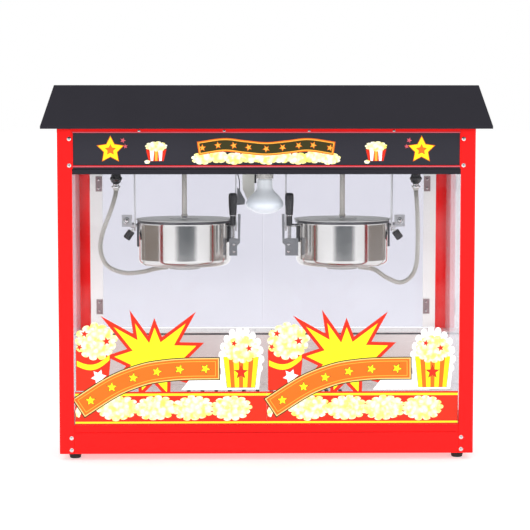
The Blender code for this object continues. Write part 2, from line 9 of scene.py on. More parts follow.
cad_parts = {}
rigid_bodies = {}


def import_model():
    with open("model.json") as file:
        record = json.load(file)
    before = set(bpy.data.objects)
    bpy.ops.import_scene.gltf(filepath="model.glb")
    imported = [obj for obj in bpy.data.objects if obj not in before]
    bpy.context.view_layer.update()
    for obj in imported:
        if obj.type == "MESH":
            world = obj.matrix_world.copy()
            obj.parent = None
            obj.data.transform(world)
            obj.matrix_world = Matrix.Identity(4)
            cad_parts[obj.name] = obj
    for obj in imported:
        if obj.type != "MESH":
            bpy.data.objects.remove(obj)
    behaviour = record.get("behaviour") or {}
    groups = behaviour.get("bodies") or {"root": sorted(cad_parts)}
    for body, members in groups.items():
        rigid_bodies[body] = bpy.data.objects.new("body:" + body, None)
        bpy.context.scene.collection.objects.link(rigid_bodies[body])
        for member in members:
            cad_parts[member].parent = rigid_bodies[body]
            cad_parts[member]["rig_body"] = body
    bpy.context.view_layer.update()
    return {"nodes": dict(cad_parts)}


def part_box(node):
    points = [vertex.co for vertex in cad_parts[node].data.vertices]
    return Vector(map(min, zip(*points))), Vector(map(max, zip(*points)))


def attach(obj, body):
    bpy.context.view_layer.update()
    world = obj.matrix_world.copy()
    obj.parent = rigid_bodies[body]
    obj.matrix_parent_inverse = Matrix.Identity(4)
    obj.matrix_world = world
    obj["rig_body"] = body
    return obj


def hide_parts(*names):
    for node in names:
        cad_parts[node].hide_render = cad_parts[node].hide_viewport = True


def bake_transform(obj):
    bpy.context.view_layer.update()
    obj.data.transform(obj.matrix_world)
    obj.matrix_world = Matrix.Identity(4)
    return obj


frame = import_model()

NODES = frame["nodes"]
SIDES = (("left", -1), ("right", 1))
KETTLE_X = {"left": -0.1713, "right": 0.1652}  # as the photo shows them
FACINGS = ((-1, "front"), (1, "rear"))
TO_FRONT = (90, "X")
TO_REAR = (-90, "X")
TILT_Z = 0.464  # the height of the kettles' side pins


# Materials
def new_material(name):
    material = bpy.data.materials.new(name)
    material.use_nodes = True
    return material, material.node_tree, material.node_tree.nodes["Principled BSDF"]


def fill(tree, node, inputs):
    """Gives each input a link if it is an output of another node, or else a value."""
    for key, value in inputs.items():
        if isinstance(value, bpy.types.NodeSocket):
            tree.links.new(value, node.inputs[key])
        else:
            node.inputs[key].default_value = value


def add(tree, kind, inputs=None, **settings):
    made = tree.nodes.new("ShaderNode" + kind)
    for key, value in settings.items():
        setattr(made, key, value)
    fill(tree, made, inputs or {})
    return made


def rgba(colour):
    return (*colour[:3], 1)


def placed(tree, stretch=(1, 1, 1)):
    where = add(tree, "TexCoord").outputs["Object"]
    return add(tree, "Mapping", {"Vector": where, "Scale": stretch}).outputs["Vector"]


def noise_of(tree, vector, scale, detail=3.0, rough=0.55):
    inputs = {"Vector": vector, "Scale": scale, "Detail": detail, "Roughness": rough}
    return add(tree, "TexNoise", inputs).outputs["Fac"]


def remap(tree, value, low, high, start=0.0, end=1.0):
    inputs = {"Value": value, "From Min": start, "From Max": end, "To Min": low, "To Max": high}
    return add(tree, "MapRange", inputs).outputs["Result"]


def math_of(tree, operation, a, b):
    return add(tree, "Math", {0: a, 1: b}, operation=operation).outputs[0]


def times(tree, a, b):
    return math_of(tree, "MULTIPLY", a, b)


def plus(tree, a, b):
    return math_of(tree, "ADD", a, b)


def mix_colour(tree, factor, a, b):
    return add(tree, "Mix", {0: factor, 6: a, 7: b}, data_type="RGBA").outputs[2]


def edge_mask(tree, radius):
    """1 on the outer edges of a shape and 0 on its flats."""
    soft = add(tree, "Bevel", {"Radius": radius}, samples=4).outputs["Normal"]
    hard = add(tree, "NewGeometry").outputs["Normal"]
    alike = add(tree, "VectorMath", {0: soft, 1: hard}, operation="DOT_PRODUCT").outputs["Value"]
    return remap(tree, alike, 1.0, 0.0, 0.8, 0.995)


def finish(
    name, colour, rough, metallic=0.0, vary=0.05, spread=0.06, grain=900.0, bump=0.15, depth=0.00003,
    stretch=(1, 1, 1), edge=None, specular=0.5,
):
    """A surface whose tone, gloss and relief all vary a little, with its edges tinted towards the edge
    colour, partly as wear and partly as a painted highlight where they catch the light.
    """
    material, tree, shader = new_material(name)
    place = placed(tree)
    broad = noise_of(tree, place, 9.0)
    fine = noise_of(tree, placed(tree, stretch), grain, 4.0)
    darker = rgba([c * (1 - vary) for c in colour])
    lighter = rgba([min(1.0, c * (1 + vary)) for c in colour])
    base = mix_colour(tree, broad, darker, lighter)
    if edge:
        # Edges shift towards the edge colour: part wear, part painted highlight where an edge would catch
        # the light.
        wear_and_sheen = times(tree, edge_mask(tree, 0.0012), remap(tree, broad, 0.2, 0.9))
        base = mix_colour(tree, wear_and_sheen, base, rgba(edge))
    mixed = plus(tree, times(tree, fine, 0.6), times(tree, broad, 0.4))
    raised = add(tree, "Bump", {"Height": fine, "Strength": bump, "Distance": depth})
    fill(tree, shader, {
        "Base Color": base,
        "Roughness": remap(tree, mixed, rough - spread, rough + spread, 0.3, 0.7),
        "Normal": raised.outputs["Normal"],
        "Metallic": metallic,
        "Specular IOR Level": specular,
    })
    return material


def turned_steel(name, colour, rough, metallic=1.0):
    """Steel polished on a lathe: fine rings around the object's own vertical axis."""
    material, tree, shader = new_material(name)
    where = add(tree, "TexCoord").outputs["Object"]
    x, y, z = add(tree, "SeparateXYZ", {"Vector": where}).outputs
    angle = math_of(tree, "ARCTAN2", y, x)
    squared = plus(tree, times(tree, x, x), times(tree, y, y))
    reach = math_of(tree, "SQRT", squared, 0.0)
    ringed = add(tree, "CombineXYZ", {
        "X": times(tree, angle, 0.9),
        "Y": times(tree, z, 1500.0),
        "Z": times(tree, reach, 1500.0),
    }).outputs["Vector"]
    rings = noise_of(tree, ringed, 1.0, 3.0, 0.6)
    blotch = noise_of(tree, where, 14.0, 4.0)
    base = mix_colour(tree, blotch, rgba([c * 0.93 for c in colour]), rgba(colour))
    mixed = plus(tree, times(tree, rings, 0.5), times(tree, blotch, 0.5))
    raised = add(tree, "Bump", {"Height": rings, "Strength": 0.1, "Distance": 0.00002})
    fill(tree, shader, {
        "Base Color": base,
        "Roughness": remap(tree, mixed, rough - 0.04, rough + 0.05, 0.3, 0.7),
        "Normal": raised.outputs["Normal"],
        "Metallic": metallic,
    })
    return material


def clear_sheet(name, tint, gloss=0.03, grazing_sheen=0.0):
    """Clear sheet: it lets all light in, looks faintly tinted, and mirrors at a glance."""
    material, tree, shader = new_material(name)
    tree.nodes.remove(shader)
    smudge = noise_of(tree, placed(tree), 7.0, 5.0, 0.6)
    seen = add(tree, "LightPath").outputs["Is Camera Ray"]
    through = add(tree, "BsdfTransparent", {"Color": mix_colour(tree, seen, (1, 1, 1, 1), rgba(tint))})
    dulled = remap(tree, smudge, gloss, gloss + 0.05, 0.35, 0.7)
    mirror = add(tree, "BsdfGlossy", {"Color": (1, 1, 1, 1), "Roughness": dulled})
    haze = add(tree, "BsdfDiffuse", {"Color": (0.9, 0.9, 0.95, 1)})
    outer_face = math_of(tree, "SUBTRACT", 1.0, add(tree, "NewGeometry").outputs["Backfacing"])
    facing = times(tree, add(tree, "Fresnel", {"IOR": 1.35}).outputs["Fac"], outer_face)
    body = add(tree, "MixShader", {0: facing, 1: through.outputs[0], 2: mirror.outputs[0]})
    # A whitish veil at grazing angles is a painted sheen, weighted by the last argument; the smudge noise
    # adds real smears.
    glance = math_of(tree, "POWER", add(tree, "LayerWeight", {"Blend": 0.5}).outputs["Facing"], 6.0)
    smears = remap(tree, smudge, 0.0, 0.03, 0.4, 0.75)
    smears_and_sheen = plus(tree, smears, times(tree, glance, grazing_sheen))
    hazed = add(tree, "MixShader", {0: smears_and_sheen, 1: body.outputs[0], 2: haze.outputs[0]})
    tree.links.new(hazed.outputs[0], tree.nodes["Material Output"].inputs["Surface"])
    return material


def popcorn_print(name):
    """Printed popcorn: white lumps with yellow hollows."""
    material, tree, shader = new_material(name)
    place = placed(tree)
    wander = add(tree, "TexNoise", {"Vector": place, "Scale": 90.0, "Detail": 2.0}).outputs["Color"]
    inputs = {0: wander, 1: (0.008, 0.008, 0.008), 2: place}
    shift = add(tree, "VectorMath", inputs, operation="MULTIPLY_ADD")
    inputs = {"Vector": shift.outputs[0], "Scale": 105.0, "Smoothness": 0.6}
    lumps = add(tree, "TexVoronoi", inputs, feature="SMOOTH_F1")
    ramp = add(tree, "ValToRGB", {"Fac": lumps.outputs["Distance"]})
    stops = ramp.color_ramp.elements
    stops[0].position, stops[0].color = 0.1, (1.0, 0.99, 0.93, 1)
    stops[1].position, stops[1].color = 0.75, (0.96, 0.78, 0.2, 1)
    middle = stops.new(0.42)
    middle.color = (1.0, 0.96, 0.62, 1)
    patches = noise_of(tree, place, 60.0, 2.0)
    share = remap(tree, patches, 0.0, 0.75, 0.52, 0.62)
    yellow = mix_colour(tree, share, ramp.outputs["Color"], (1.0, 0.86, 0.08, 1))
    fill(tree, shader, {"Base Color": yellow, "Roughness": 0.35})
    return material


def lamp_glass(name):
    """Frosted lamp glass, a little more metallic above the face, where it is silvered inside, with a faint
    painted glow that brightens the unlit bulb.
    """
    material, tree, shader = new_material(name)
    where = add(tree, "TexCoord").outputs["Object"]
    height = add(tree, "SeparateXYZ", {"Vector": where}).outputs["Z"]
    silver = remap(tree, height, 0.0, 1.0, 0.517, 0.522)
    base = mix_colour(tree, silver, (0.52, 0.56, 0.59, 1), (0.56, 0.58, 0.58, 1))
    fill(tree, shader, {
        "Base Color": base,
        "Metallic": times(tree, silver, 0.15),
        "Roughness": remap(tree, noise_of(tree, where, 500.0), 0.22, 0.34),
        # The unlit bulb glows a little: painted light that brightens the glass.
        "Emission Color": (0.8, 0.86, 0.92, 1),
        "Emission Strength": 0.29,
        "Coat Weight": 0.8,
        "Coat Roughness": 0.05,
    })
    return material


RED = finish(
    "red_powder_coat", (0.9, 0.004, 0.004), 0.36, grain=1100, bump=0.22, edge=(1.0, 0.05, 0.04), specular=0.2
)
ROOF = finish(
    "black_powder_coat", (0.018, 0.017, 0.023), 0.5, vary=0.12, grain=1400, bump=0.35,
    edge=(0.07, 0.07, 0.08), specular=0.16
)
SIGN = finish("sign_sheet", (0.026, 0.025, 0.034), 0.45, vary=0.1, grain=1600, bump=0.12, specular=0.2)
GLASS = clear_sheet("window_glass", (0.935, 0.935, 0.955))
# The side panes get the painted sheen at grazing angles.
SIDE_GLASS = clear_sheet("side_window_glass", (0.93, 0.93, 0.95), grazing_sheen=0.45)
ACRYLIC = clear_sheet("door_acrylic_sheet", (0.845, 0.842, 0.875), 0.05)
LEDGE = finish(
    "ledge_steel", (0.88, 0.83, 0.8), 0.24, 0.35, grain=1500, bump=0.1, stretch=(0.03, 1, 1),
    edge=(0.95, 0.95, 0.95)
)
SHEET_STEEL = finish(
    "brushed_sheet", (0.66, 0.65, 0.64), 0.36, 1.0, grain=1500, bump=0.1, stretch=(0.03, 1, 1), spread=0.05
)
STRAP_STEEL = finish(
    "strap_steel", (0.62, 0.62, 0.64), 0.33, 0.85, grain=700, bump=0.25, stretch=(1, 1, 0.06),
    edge=(0.8, 0.8, 0.8)
)
POT_STEEL = turned_steel("pot_steel_finish", (0.76, 0.75, 0.73), 0.12)
LID_STEEL = turned_steel("lid_steel_finish", (0.46, 0.47, 0.46), 0.34, 0.45)
LID_HINGE = finish("lid_hinge_steel", (0.55, 0.56, 0.55), 0.4, 0.3, grain=700, bump=0.2)
# Near-black steel: the dark colour of the pot brackets, and painted shade on the pot rims and along the
# ledge nose.
SHADE_AND_DARK_STEEL = finish("dark_steel_and_painted_shade", (0.1, 0.1, 0.11), 0.3, 0.8, bump=0.1, edge=(0.4, 0.4, 0.4))
HINGE_STEEL = finish("hinge_steel", (0.42, 0.32, 0.33), 0.36, 0.7, bump=0.2, edge=(0.7, 0.6, 0.6))
PLATED = finish("bright_plating", (0.7, 0.7, 0.71), 0.2, 1.0, bump=0.1)
CONDUIT = finish("conduit_steel", (0.6, 0.59, 0.55), 0.32, 0.5, grain=800, bump=0.25, vary=0.12)
LEVER_STEEL = finish(
    "lever_steel", (0.16, 0.165, 0.175), 0.38, 0.4, grain=700, bump=0.25, edge=(0.6, 0.6, 0.6)
)
ROD_STEEL = finish("rod_steel", (0.64, 0.62, 0.57), 0.34, 0.55, stretch=(1, 1, 0.05))
SCREW = finish("screw_plating", (0.78, 0.78, 0.78), 0.24, 1.0, grain=1500)
STILE = finish(
    "stile_finish", (0.92, 0.92, 0.9), 0.42, grain=600, stretch=(1, 1, 0.08), edge=(0.85, 0.85, 0.85)
)
BLACK = finish(
    "moulded_black", (0.014, 0.014, 0.016), 0.36, vary=0.2, grain=1800, bump=0.35, edge=(0.05, 0.05, 0.055)
)
RUBBER = finish("foot_rubber", (0.016, 0.016, 0.016), 0.72, vary=0.2, grain=1500, bump=0.6, depth=0.00006)
CREAM = finish("cream_insulator", (0.92, 0.92, 0.83), 0.5, grain=700, bump=0.3)
SOCKET_GREY = finish("socket_grey", (0.5, 0.49, 0.46), 0.4, bump=0.2)
WHITE_RING = finish("white_nylon", (0.72, 0.71, 0.68), 0.42)
LAMP = lamp_glass("lamp_glass_finish")
POPCORN = popcorn_print("popcorn_print")
# Darker red for the painted shadow along the base pan's fold.
FOLD_SHADOW_RED = finish("fold_painted_shadow_red", (0.42, 0.004, 0.006), 0.6, specular=0.1)
INKS = {
    "yellow": (0.92, 0.86, 0.015),
    "red": (0.68, 0.028, 0.01),
    "orange": (0.8, 0.16, 0.012),
    "gold": (1.0, 0.42, 0.05),
    "cream": (1.0, 0.62, 0.2),
    "dark": (0.045, 0.04, 0.012),
    "white": (0.95, 0.94, 0.96),
    "pink": (0.62, 0.1, 0.13),
}
INK = {
    name: finish(f"{name}_ink", colour, 0.32, vary=0.03, grain=2500, bump=0.05, specular=0.2)
    for name, colour in INKS.items()
}


# Shapes
def box(x, y, z):
    """A block, given its range along each axis."""
    bm = bmesh.new()
    made = bmesh.ops.create_cube(bm, size=1)["verts"]
    scale = Matrix.Diagonal((x[1] - x[0], y[1] - y[0], z[1] - z[0], 1))
    middle = Vector(((x[0] + x[1]) / 2, (y[0] + y[1]) / 2, (z[0] + z[1]) / 2))
    bmesh.ops.transform(bm, matrix=Matrix.Translation(middle) @ scale, verts=made)
    return bm


def outline_prism(points, lo, hi, bm=None):
    """A flat outline in XZ, given thickness along Y."""
    bm = bm or bmesh.new()
    near = [bm.verts.new((x, lo, z)) for x, z in points]
    far = [bm.verts.new((x, hi, z)) for x, z in points]
    bm.faces.new(near)
    bm.faces.new(far[::-1])
    for i in range(len(points)):
        j = (i + 1) % len(points)
        bm.faces.new((near[j], near[i], far[i], far[j]))
    return bm


def lathe(profile, centre=(0, 0, 0), steps=64, turn=None):
    """A solid of revolution about a vertical line, turned by (degrees, axis) and moved into place."""
    bm = bmesh.new()
    points = [bm.verts.new((radius, 0, z)) for radius, z in profile]
    edges = [bm.edges.new(pair) for pair in zip(points, points[1:])]
    around = {"axis": (0, 0, 1), "cent": (0, 0, 0), "angle": 2 * math.pi, "steps": steps}
    bmesh.ops.spin(bm, geom=points + edges, use_merge=True, **around)
    bmesh.ops.remove_doubles(bm, verts=bm.verts, dist=1e-6)
    matrix = Matrix.Translation(centre)
    if turn:
        matrix = matrix @ Matrix.Rotation(math.radians(turn[0]), 4, turn[1])
    bmesh.ops.transform(bm, matrix=matrix, verts=bm.verts)
    return bm


def polar(centre, radius, degrees):
    angle = math.radians(degrees)
    return centre[0] + radius * math.cos(angle), centre[1] + radius * math.sin(angle)


def arc(centre, radius, start, end, steps=6):
    return [polar(centre, radius, start + (end - start) * i / steps) for i in range(steps + 1)]


def smooth_path(points, count):
    """Catmull-Rom through the points."""
    points = [Vector(p) for p in points]
    ends = [points[0] * 2 - points[1], *points, points[-1] * 2 - points[-2]]
    found = []
    for step in range(count + 1):
        at = step / count * (len(points) - 1)
        i = min(int(at), len(points) - 2)
        t = at - i
        a, b, c, d = ends[i : i + 4]
        bent = (2 * a - 5 * b + 4 * c - d) * t**2 + (3 * b - a - 3 * c + d) * t**3
        found.append(0.5 * (2 * b + (c - a) * t + bent))
    return found


def sweep(path, radius_at, sides=14):
    """A capped tube along a path, its radius given at each step."""
    bm = bmesh.new()
    rings = []
    side = Vector((0, 1, 0))
    for i, point in enumerate(path):
        ahead = (path[min(i + 1, len(path) - 1)] - path[max(i - 1, 0)]).normalized()
        side = (side - ahead * side.dot(ahead)).normalized()
        up = ahead.cross(side)
        radius = radius_at(i)
        ring = []
        for k in range(sides):
            angle = 2 * math.pi * k / sides
            ring.append(bm.verts.new(point + (side * math.cos(angle) + up * math.sin(angle)) * radius))
        rings.append(ring)
    for low, high in zip(rings, rings[1:]):
        for k in range(sides):
            j = (k + 1) % sides
            bm.faces.new((low[k], low[j], high[j], high[k]))
    bm.faces.new(rings[0][::-1])
    bm.faces.new(rings[-1])
    return bm


def new_object(name, data):
    obj = bpy.data.objects.new(name, data)
    bpy.context.scene.collection.objects.link(obj)
    return obj


def carve(obj, cutter):
    tool = new_object("cutter", bpy.data.meshes.new("cutter"))
    bmesh.ops.recalc_face_normals(cutter, faces=cutter.faces)
    cutter.to_mesh(tool.data)
    cutter.free()
    modifier = obj.modifiers.new("cut", "BOOLEAN")
    modifier.solver = "EXACT"
    modifier.operation = "DIFFERENCE"
    modifier.object = tool
    bpy.context.view_layer.update()
    graph = bpy.context.evaluated_depsgraph_get()
    mesh = bpy.data.meshes.new_from_object(obj.evaluated_get(graph))
    obj.modifiers.clear()
    obj.data = mesh
    bpy.data.objects.remove(tool)


def piece(
    name, bm, material, body=None, bevel=0.0, segments=2, replaces=None, origin=None, slot=None, cutters=()
):
    """Turns a bmesh in world coordinates into a smooth-shaded piece riding on a body."""
    bmesh.ops.recalc_face_normals(bm, faces=bm.faces)
    if origin:
        bmesh.ops.translate(bm, verts=bm.verts, vec=-Vector(origin))
    mesh = bpy.data.meshes.new(name)
    bm.to_mesh(mesh)
    bm.free()
    mesh.shade_smooth()
    mesh.set_sharp_from_angle(angle=math.radians(38))
    obj = new_object(name, mesh)
    for one in material if isinstance(material, list) else [material]:
        mesh.materials.append(one)
    if origin:
        obj.location = origin
    for cutter in cutters:
        carve(obj, cutter)
    if bevel:
        edges = obj.modifiers.new("edges", "BEVEL")
        edges.width, edges.segments = bevel, segments
        edges.limit_method = "ANGLE"
        edges.angle_limit = math.radians(35)
        edges.harden_normals = True
    if body:
        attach(obj, body)
    if replaces:
        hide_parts(replaces)
    return obj


def turned(name, profile, at, steps, material, body, turn=None, **more):
    """A piece made on a lathe."""
    return piece(name, lathe(profile, at, steps, turn), material, body, **more)


def refined(node, material, width=0.0006, segments=2):
    """The CAD node's own shape as a new piece, with its edges rounded so that they catch the light."""
    bm = bmesh.new()
    bm.from_mesh(NODES[node].data)
    bmesh.ops.remove_doubles(bm, verts=bm.verts, dist=1e-6)
    bmesh.ops.dissolve_limit(bm, angle_limit=math.radians(1.5), verts=bm.verts, edges=bm.edges)
    return piece(f"{node}_finished", bm, material, NODES[node]["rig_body"], width, segments, node)


# Screws: one shared mesh for each size
def screw_mesh(name, radius):
    dome = [(0, 0.42), (0.45, 0.38), (0.8, 0.24), (1, 0.06), (1, -0.2), (0, -0.2)]
    dome = [(r * radius, z * radius) for r, z in dome]
    arm = 0.62 * radius
    wide = 0.13 * radius
    depth = (0.12 * radius, radius)
    cross = [box((-arm, arm), (-wide, wide), depth), box((-wide, wide), (-arm, arm), depth)]
    head = piece(name, lathe(dome, steps=24), SCREW, cutters=cross)
    mesh = head.data
    bpy.data.objects.remove(head)
    return mesh


SCREW_MESH = {"large": screw_mesh("pan_head_screw", 0.0042), "small": screw_mesh("small_screw", 0.0027)}


def screw(name, at, facing, body, size="large", spin=0.0):
    obj = new_object(name, SCREW_MESH[size])
    turn = Vector((0, 0, 1)).rotation_difference(Vector(facing)).to_matrix().to_4x4()
    obj.matrix_world = Matrix.Translation(at) @ turn @ Matrix.Rotation(spin, 4, "Z")
    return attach(obj, body)


# Cabinet
def build_cabinet():
    for where in ("front", "rear"):
        for side, _ in SIDES:
            refined(f"{where}_{side}_post", RED, 0.0009, 3)
            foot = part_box(f"{where}_{side}_foot")
            middle = (foot[0] + foot[1]) / 2
            top = foot[1].z
            profile = [(0, 0), (0.0095, 0), (0.0108, 0.0008), (0.0116, 0.003), (0.0118, 0.0056)]
            profile += [(0.0124, 0.0062), (0.0125, top - 0.0008), (0.012, top), (0, top)]
            name = f"{where}_{side}_rubber_foot"
            at = (middle.x, middle.y, 0)
            turned(name, profile, at, 40, RUBBER, "cabinet", replaces=f"{where}_{side}_foot")
    refined("base_pan", RED, 0.0006)
    refined("header_frame", RED, 0.0005)
    refined("header_floor", ROOF, 0.0004)
    refined("roof", ROOF, 0.001, 3)
    refined("sign_panel", SIGN, 0.0003)
    refined("popcorn_floor", LEDGE, 0.0005)
    refined("rear_ledge", LEDGE, 0.001, 3)
    refined("crumb_drawer", SHEET_STEEL, 0.0005)
    refined("front_glass", GLASS, 0.0006)
    for name in ("left_glass", "right_glass"):
        refined(name, SIDE_GLASS, 0.0006)
    post_x, post_y = 0.3955, 0.2202
    flank_x, flank_y = 0.4202, 0.1955
    post_z = (0.651, 0.598, 0.0455, 0.021)
    rng = random.Random(4)
    for side, sign in SIDES:
        for row, z in enumerate(post_z):
            for facing, label in FACINGS:
                at = (sign * post_x, facing * post_y, z)
                name = f"{label}_{side}_post_screw_{row}"
                screw(name, at, (0, facing, 0), "cabinet", spin=rng.uniform(0, 3))
                at = (sign * flank_x, facing * flank_y, z)
                name = f"{label}_{side}_side_screw_{row}"
                screw(name, at, (sign, 0, 0), "cabinet", spin=rng.uniform(0, 3))
    first_x, apart = -0.2555, 0.1703
    header_y, header_z = 0.2184, 0.6668
    for i in range(4):
        for facing, label in FACINGS:
            at = (first_x + apart * i, facing * header_y, header_z)
            name = f"{label}_header_screw_{i}"
            screw(name, at, (0, facing, 0), "cabinet", "small", rng.uniform(0, 3))


def build_ledge():
    """A dark strip along the ledge's front edge just below its top, painted shade under the nose, and a row
    of rivets along its top.
    """
    low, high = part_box("rear_ledge")
    # Painted shade: a dark strip where the ledge's nose shades its front face.
    nose = box((low.x, high.x), (low.y - 0.0008, low.y + 0.0004), (high.z - 0.0058, high.z - 0.002))
    piece("ledge_nose_painted_shadow", nose, SHADE_AND_DARK_STEEL, "cabinet", 0.0003)
    rivets, margin, rivet_y = 22, 0.026, 0.186
    dome = [(0, 0.0011), (0.0014, 0.0009), (0.0022, 0.0002), (0.0022, -0.0004), (0, -0.0004)]
    for i in range(rivets):
        x = low.x + margin + i * (high.x - low.x - 2 * margin) / (rivets - 1)
        turned(f"ledge_rivet_{i}", dome, (x, rivet_y, high.z), 14, PLATED, "cabinet")


def build_base_fold():
    """The lower part of the base pan's front stands a little proud; a darker red strip along its top edge is
    painted shadow for the fold line across it.
    """
    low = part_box("base_pan")[0]
    wide = (-0.388, 0.388)
    fold_z, shadow_height = 0.0555, 0.0009
    skirt = box(wide, (low.y - 0.0009, low.y + 0.0004), (low.z + 0.0006, fold_z))
    piece("base_pan_lower_fold", skirt, RED, "cabinet", 0.0004)
    # A thin darker red strip: painted shadow at the fold.
    line = box(wide, (low.y - 0.0003, low.y + 0.0004), (fold_z, fold_z + shadow_height))
    piece("base_pan_fold_painted_shadow", line, FOLD_SHADOW_RED, "cabinet", 0.0001)


def build_header_strips():
    """Red-painted edging along the top and bottom of the sign's window, inked a dull pink as painted sheen
    on the red paint, and a black trim below it.
    """
    wide = (-0.3885, 0.3885)
    half_height, trim_height = 0.0011, 0.006
    for name, z in (("upper", 0.664), ("lower", 0.5955)):
        # The pink ink on these red-painted strips is painted sheen.
        bar = box(wide, (-0.2196, -0.2183), (z - half_height, z + half_height))
        piece(f"{name}_sign_edging", bar, INK["pink"], "cabinet", 0.0004, slot="red_paint")
    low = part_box("header_frame")[0]
    trim = box(wide, (low.y - 0.0006, low.y + 0.0003), (low.z, low.z + trim_height))
    piece("header_lower_trim", trim, ROOF, "cabinet", 0.0003)


# Doors
def build_doors():
    for side, sign in SIDES:
        body = f"{side}_door_leaf"
        refined(f"{side}_door", ACRYLIC, 0.0006)
        refined(f"{side}_door_stile", STILE, 0.0007)
        if side == "left":
            low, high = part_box("left_door")
            gap_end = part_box("right_door")[0].x - 0.0002
            edge_x, edge_y = (high.x - 0.0004, gap_end), (low.y + 0.0002, high.y - 0.0002)
            edge = box(edge_x, edge_y, (low.z, high.z))
            piece("left_door_meeting_edge", edge, ACRYLIC, body, slot="door_acrylic")
        for level in ("lower", "upper"):
            hinge = f"{side}_door_{level}_hinge"
            refined(hinge, HINGE_STEEL, 0.0003)
            low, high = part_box(hinge)
            x, half_width, screw_in = sign * 0.369, 0.0072, 0.007
            plate = box((x - half_width, x + half_width), (0.2076, 0.2088), (low.z, high.z))
            piece(f"{hinge}_backing_plate", plate, HINGE_STEEL, body, 0.0005)
            for end, z in enumerate((low.z + screw_in, high.z - screw_in)):
                screw(f"{hinge}_inner_screw_{end}", (x, 0.2074, z), (0, -1, 0), body, "small", 0.5 + end)
                screw(f"{hinge}_outer_screw_{end}", (x, 0.219, z), (0, 1, 0), body, "small", 1.1 + end)
        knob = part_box(f"{side}_door_knob")
        at = ((knob[0].x + knob[1].x) / 2, knob[0].y, (knob[0].z + knob[1].z) / 2)
        profile = [(0, 0), (0.0062, 0), (0.0062, 0.0012), (0.0036, 0.002), (0.0034, 0.007)]
        profile += [(0.006, 0.0092), *arc((0.007, 0.0138), 0.003, -50, 80, 8)]
        profile += [(0.005, 0.018), (0, 0.019)]
        name, old = f"{side}_turned_knob", f"{side}_door_knob"
        turned(name, profile, at, 40, BLACK, body, TO_REAR, replaces=old)


# Rear controls
def build_controls():
    for name in ("left_kettle_switch", "lamp_switch", "right_kettle_switch"):
        refined(name, BLACK, 0.0006, 3)
        low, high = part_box(name)
        x, z = (low.x + high.x) / 2, 0.631
        plate = box((x - 0.0105, x + 0.0105), (0.2183, 0.2198), (z - 0.0165, z + 0.0165))
        opening = box((x - 0.0079, x + 0.0079), (0.21, 0.23), (z - 0.0136, z + 0.0136))
        piece(f"{name}_bezel", plate, BLACK, "cabinet", 0.0005, cutters=[opening])
    block = box((0.3, 0.33), (0.2183, 0.2215), (0.022, 0.046))
    recess = box((0.304, 0.326), (0.2195, 0.23), (0.026, 0.042))
    piece("mains_inlet", block, BLACK, "cabinet", 0.0006, cutters=[recess])
    for i, (x, z) in enumerate(((0.309, 0.0315), (0.315, 0.0365), (0.321, 0.0315))):
        blade = box((x - 0.001, x + 0.001), (0.2188, 0.2212), (z - 0.0022, z + 0.0022))
        piece(f"mains_inlet_pin_{i}", blade, PLATED, "cabinet", 0.0002)


# Lamp
def build_lamp():
    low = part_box("lamp_bulb")[0]
    face = [(0, low.z), (0.01, low.z + 0.0006), (0.02, low.z + 0.003), (0.029, low.z + 0.0076)]
    face += arc((0.0265, low.z + 0.0215), 0.0135, -40, 35, 8)
    side = [(0.0345, 0.5228), (0.0281, 0.5298), (0.0219, 0.5354), (0.0182, 0.5402), (0.017, 0.5452)]
    side += [(0.0165, 0.56), (0.0132, 0.563), (0.0132, 0.584), (0, 0.585)]
    middle = (0, 0, 0)
    turned("reflector_lamp", face + side, middle, 72, LAMP, "cabinet", replaces="lamp_bulb")
    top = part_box("lamp_socket")[1].z
    socket = [(0.0143, 0.5633), (0.0178, 0.5633), (0.0186, 0.5642)]
    for i in range(4):
        z = 0.5665 + i * 0.0032
        socket += [(0.0186, z), (0.0179, z + 0.0006), (0.0179, z + 0.0018), (0.0186, z + 0.0024)]
    socket += [(0.019, 0.58), (0.0224, 0.5806), (0.023, 0.5814), (0.023, top), (0, top)]
    socket += [(0, 0.586), (0.0143, 0.586), (0.0143, 0.5633)]
    turned("moulded_socket", socket, middle, 48, SOCKET_GREY, "cabinet", replaces="lamp_socket")
    shield = [(-0.0475, 0.588), (-0.0475, 0.54), (-0.037, 0.516), (-0.0215, 0.523), (-0.0215, 0.588)]
    piece("lamp_shield_plate", outline_prism(shield, 0.044, 0.0455), CREAM, "cabinet", 0.0006)
    edge = box((-0.0215, -0.0175), (0.043, 0.047), (0.552, 0.588))
    piece("lamp_shield_edge", edge, BLACK, "cabinet", 0.0006)
    clip = [(-0.059, 0.544), (-0.0545, 0.54), (-0.042, 0.517), (-0.043, 0.5075), (-0.059, 0.506)]
    piece("cable_clip", outline_prism(clip, 0.018, 0.023), LEVER_STEEL, "cabinet", 0.0009)
    route = ((-0.059, 0.588), (-0.0575, 0.572), (-0.0545, 0.56), (-0.054, 0.54), (-0.056, 0.53))
    cable = smooth_path([(x, 0.0205, z) for x, z in route], 60)
    piece("sensor_cable", sweep(cable, lambda i: 0.0011, 10), BLACK, "cabinet")


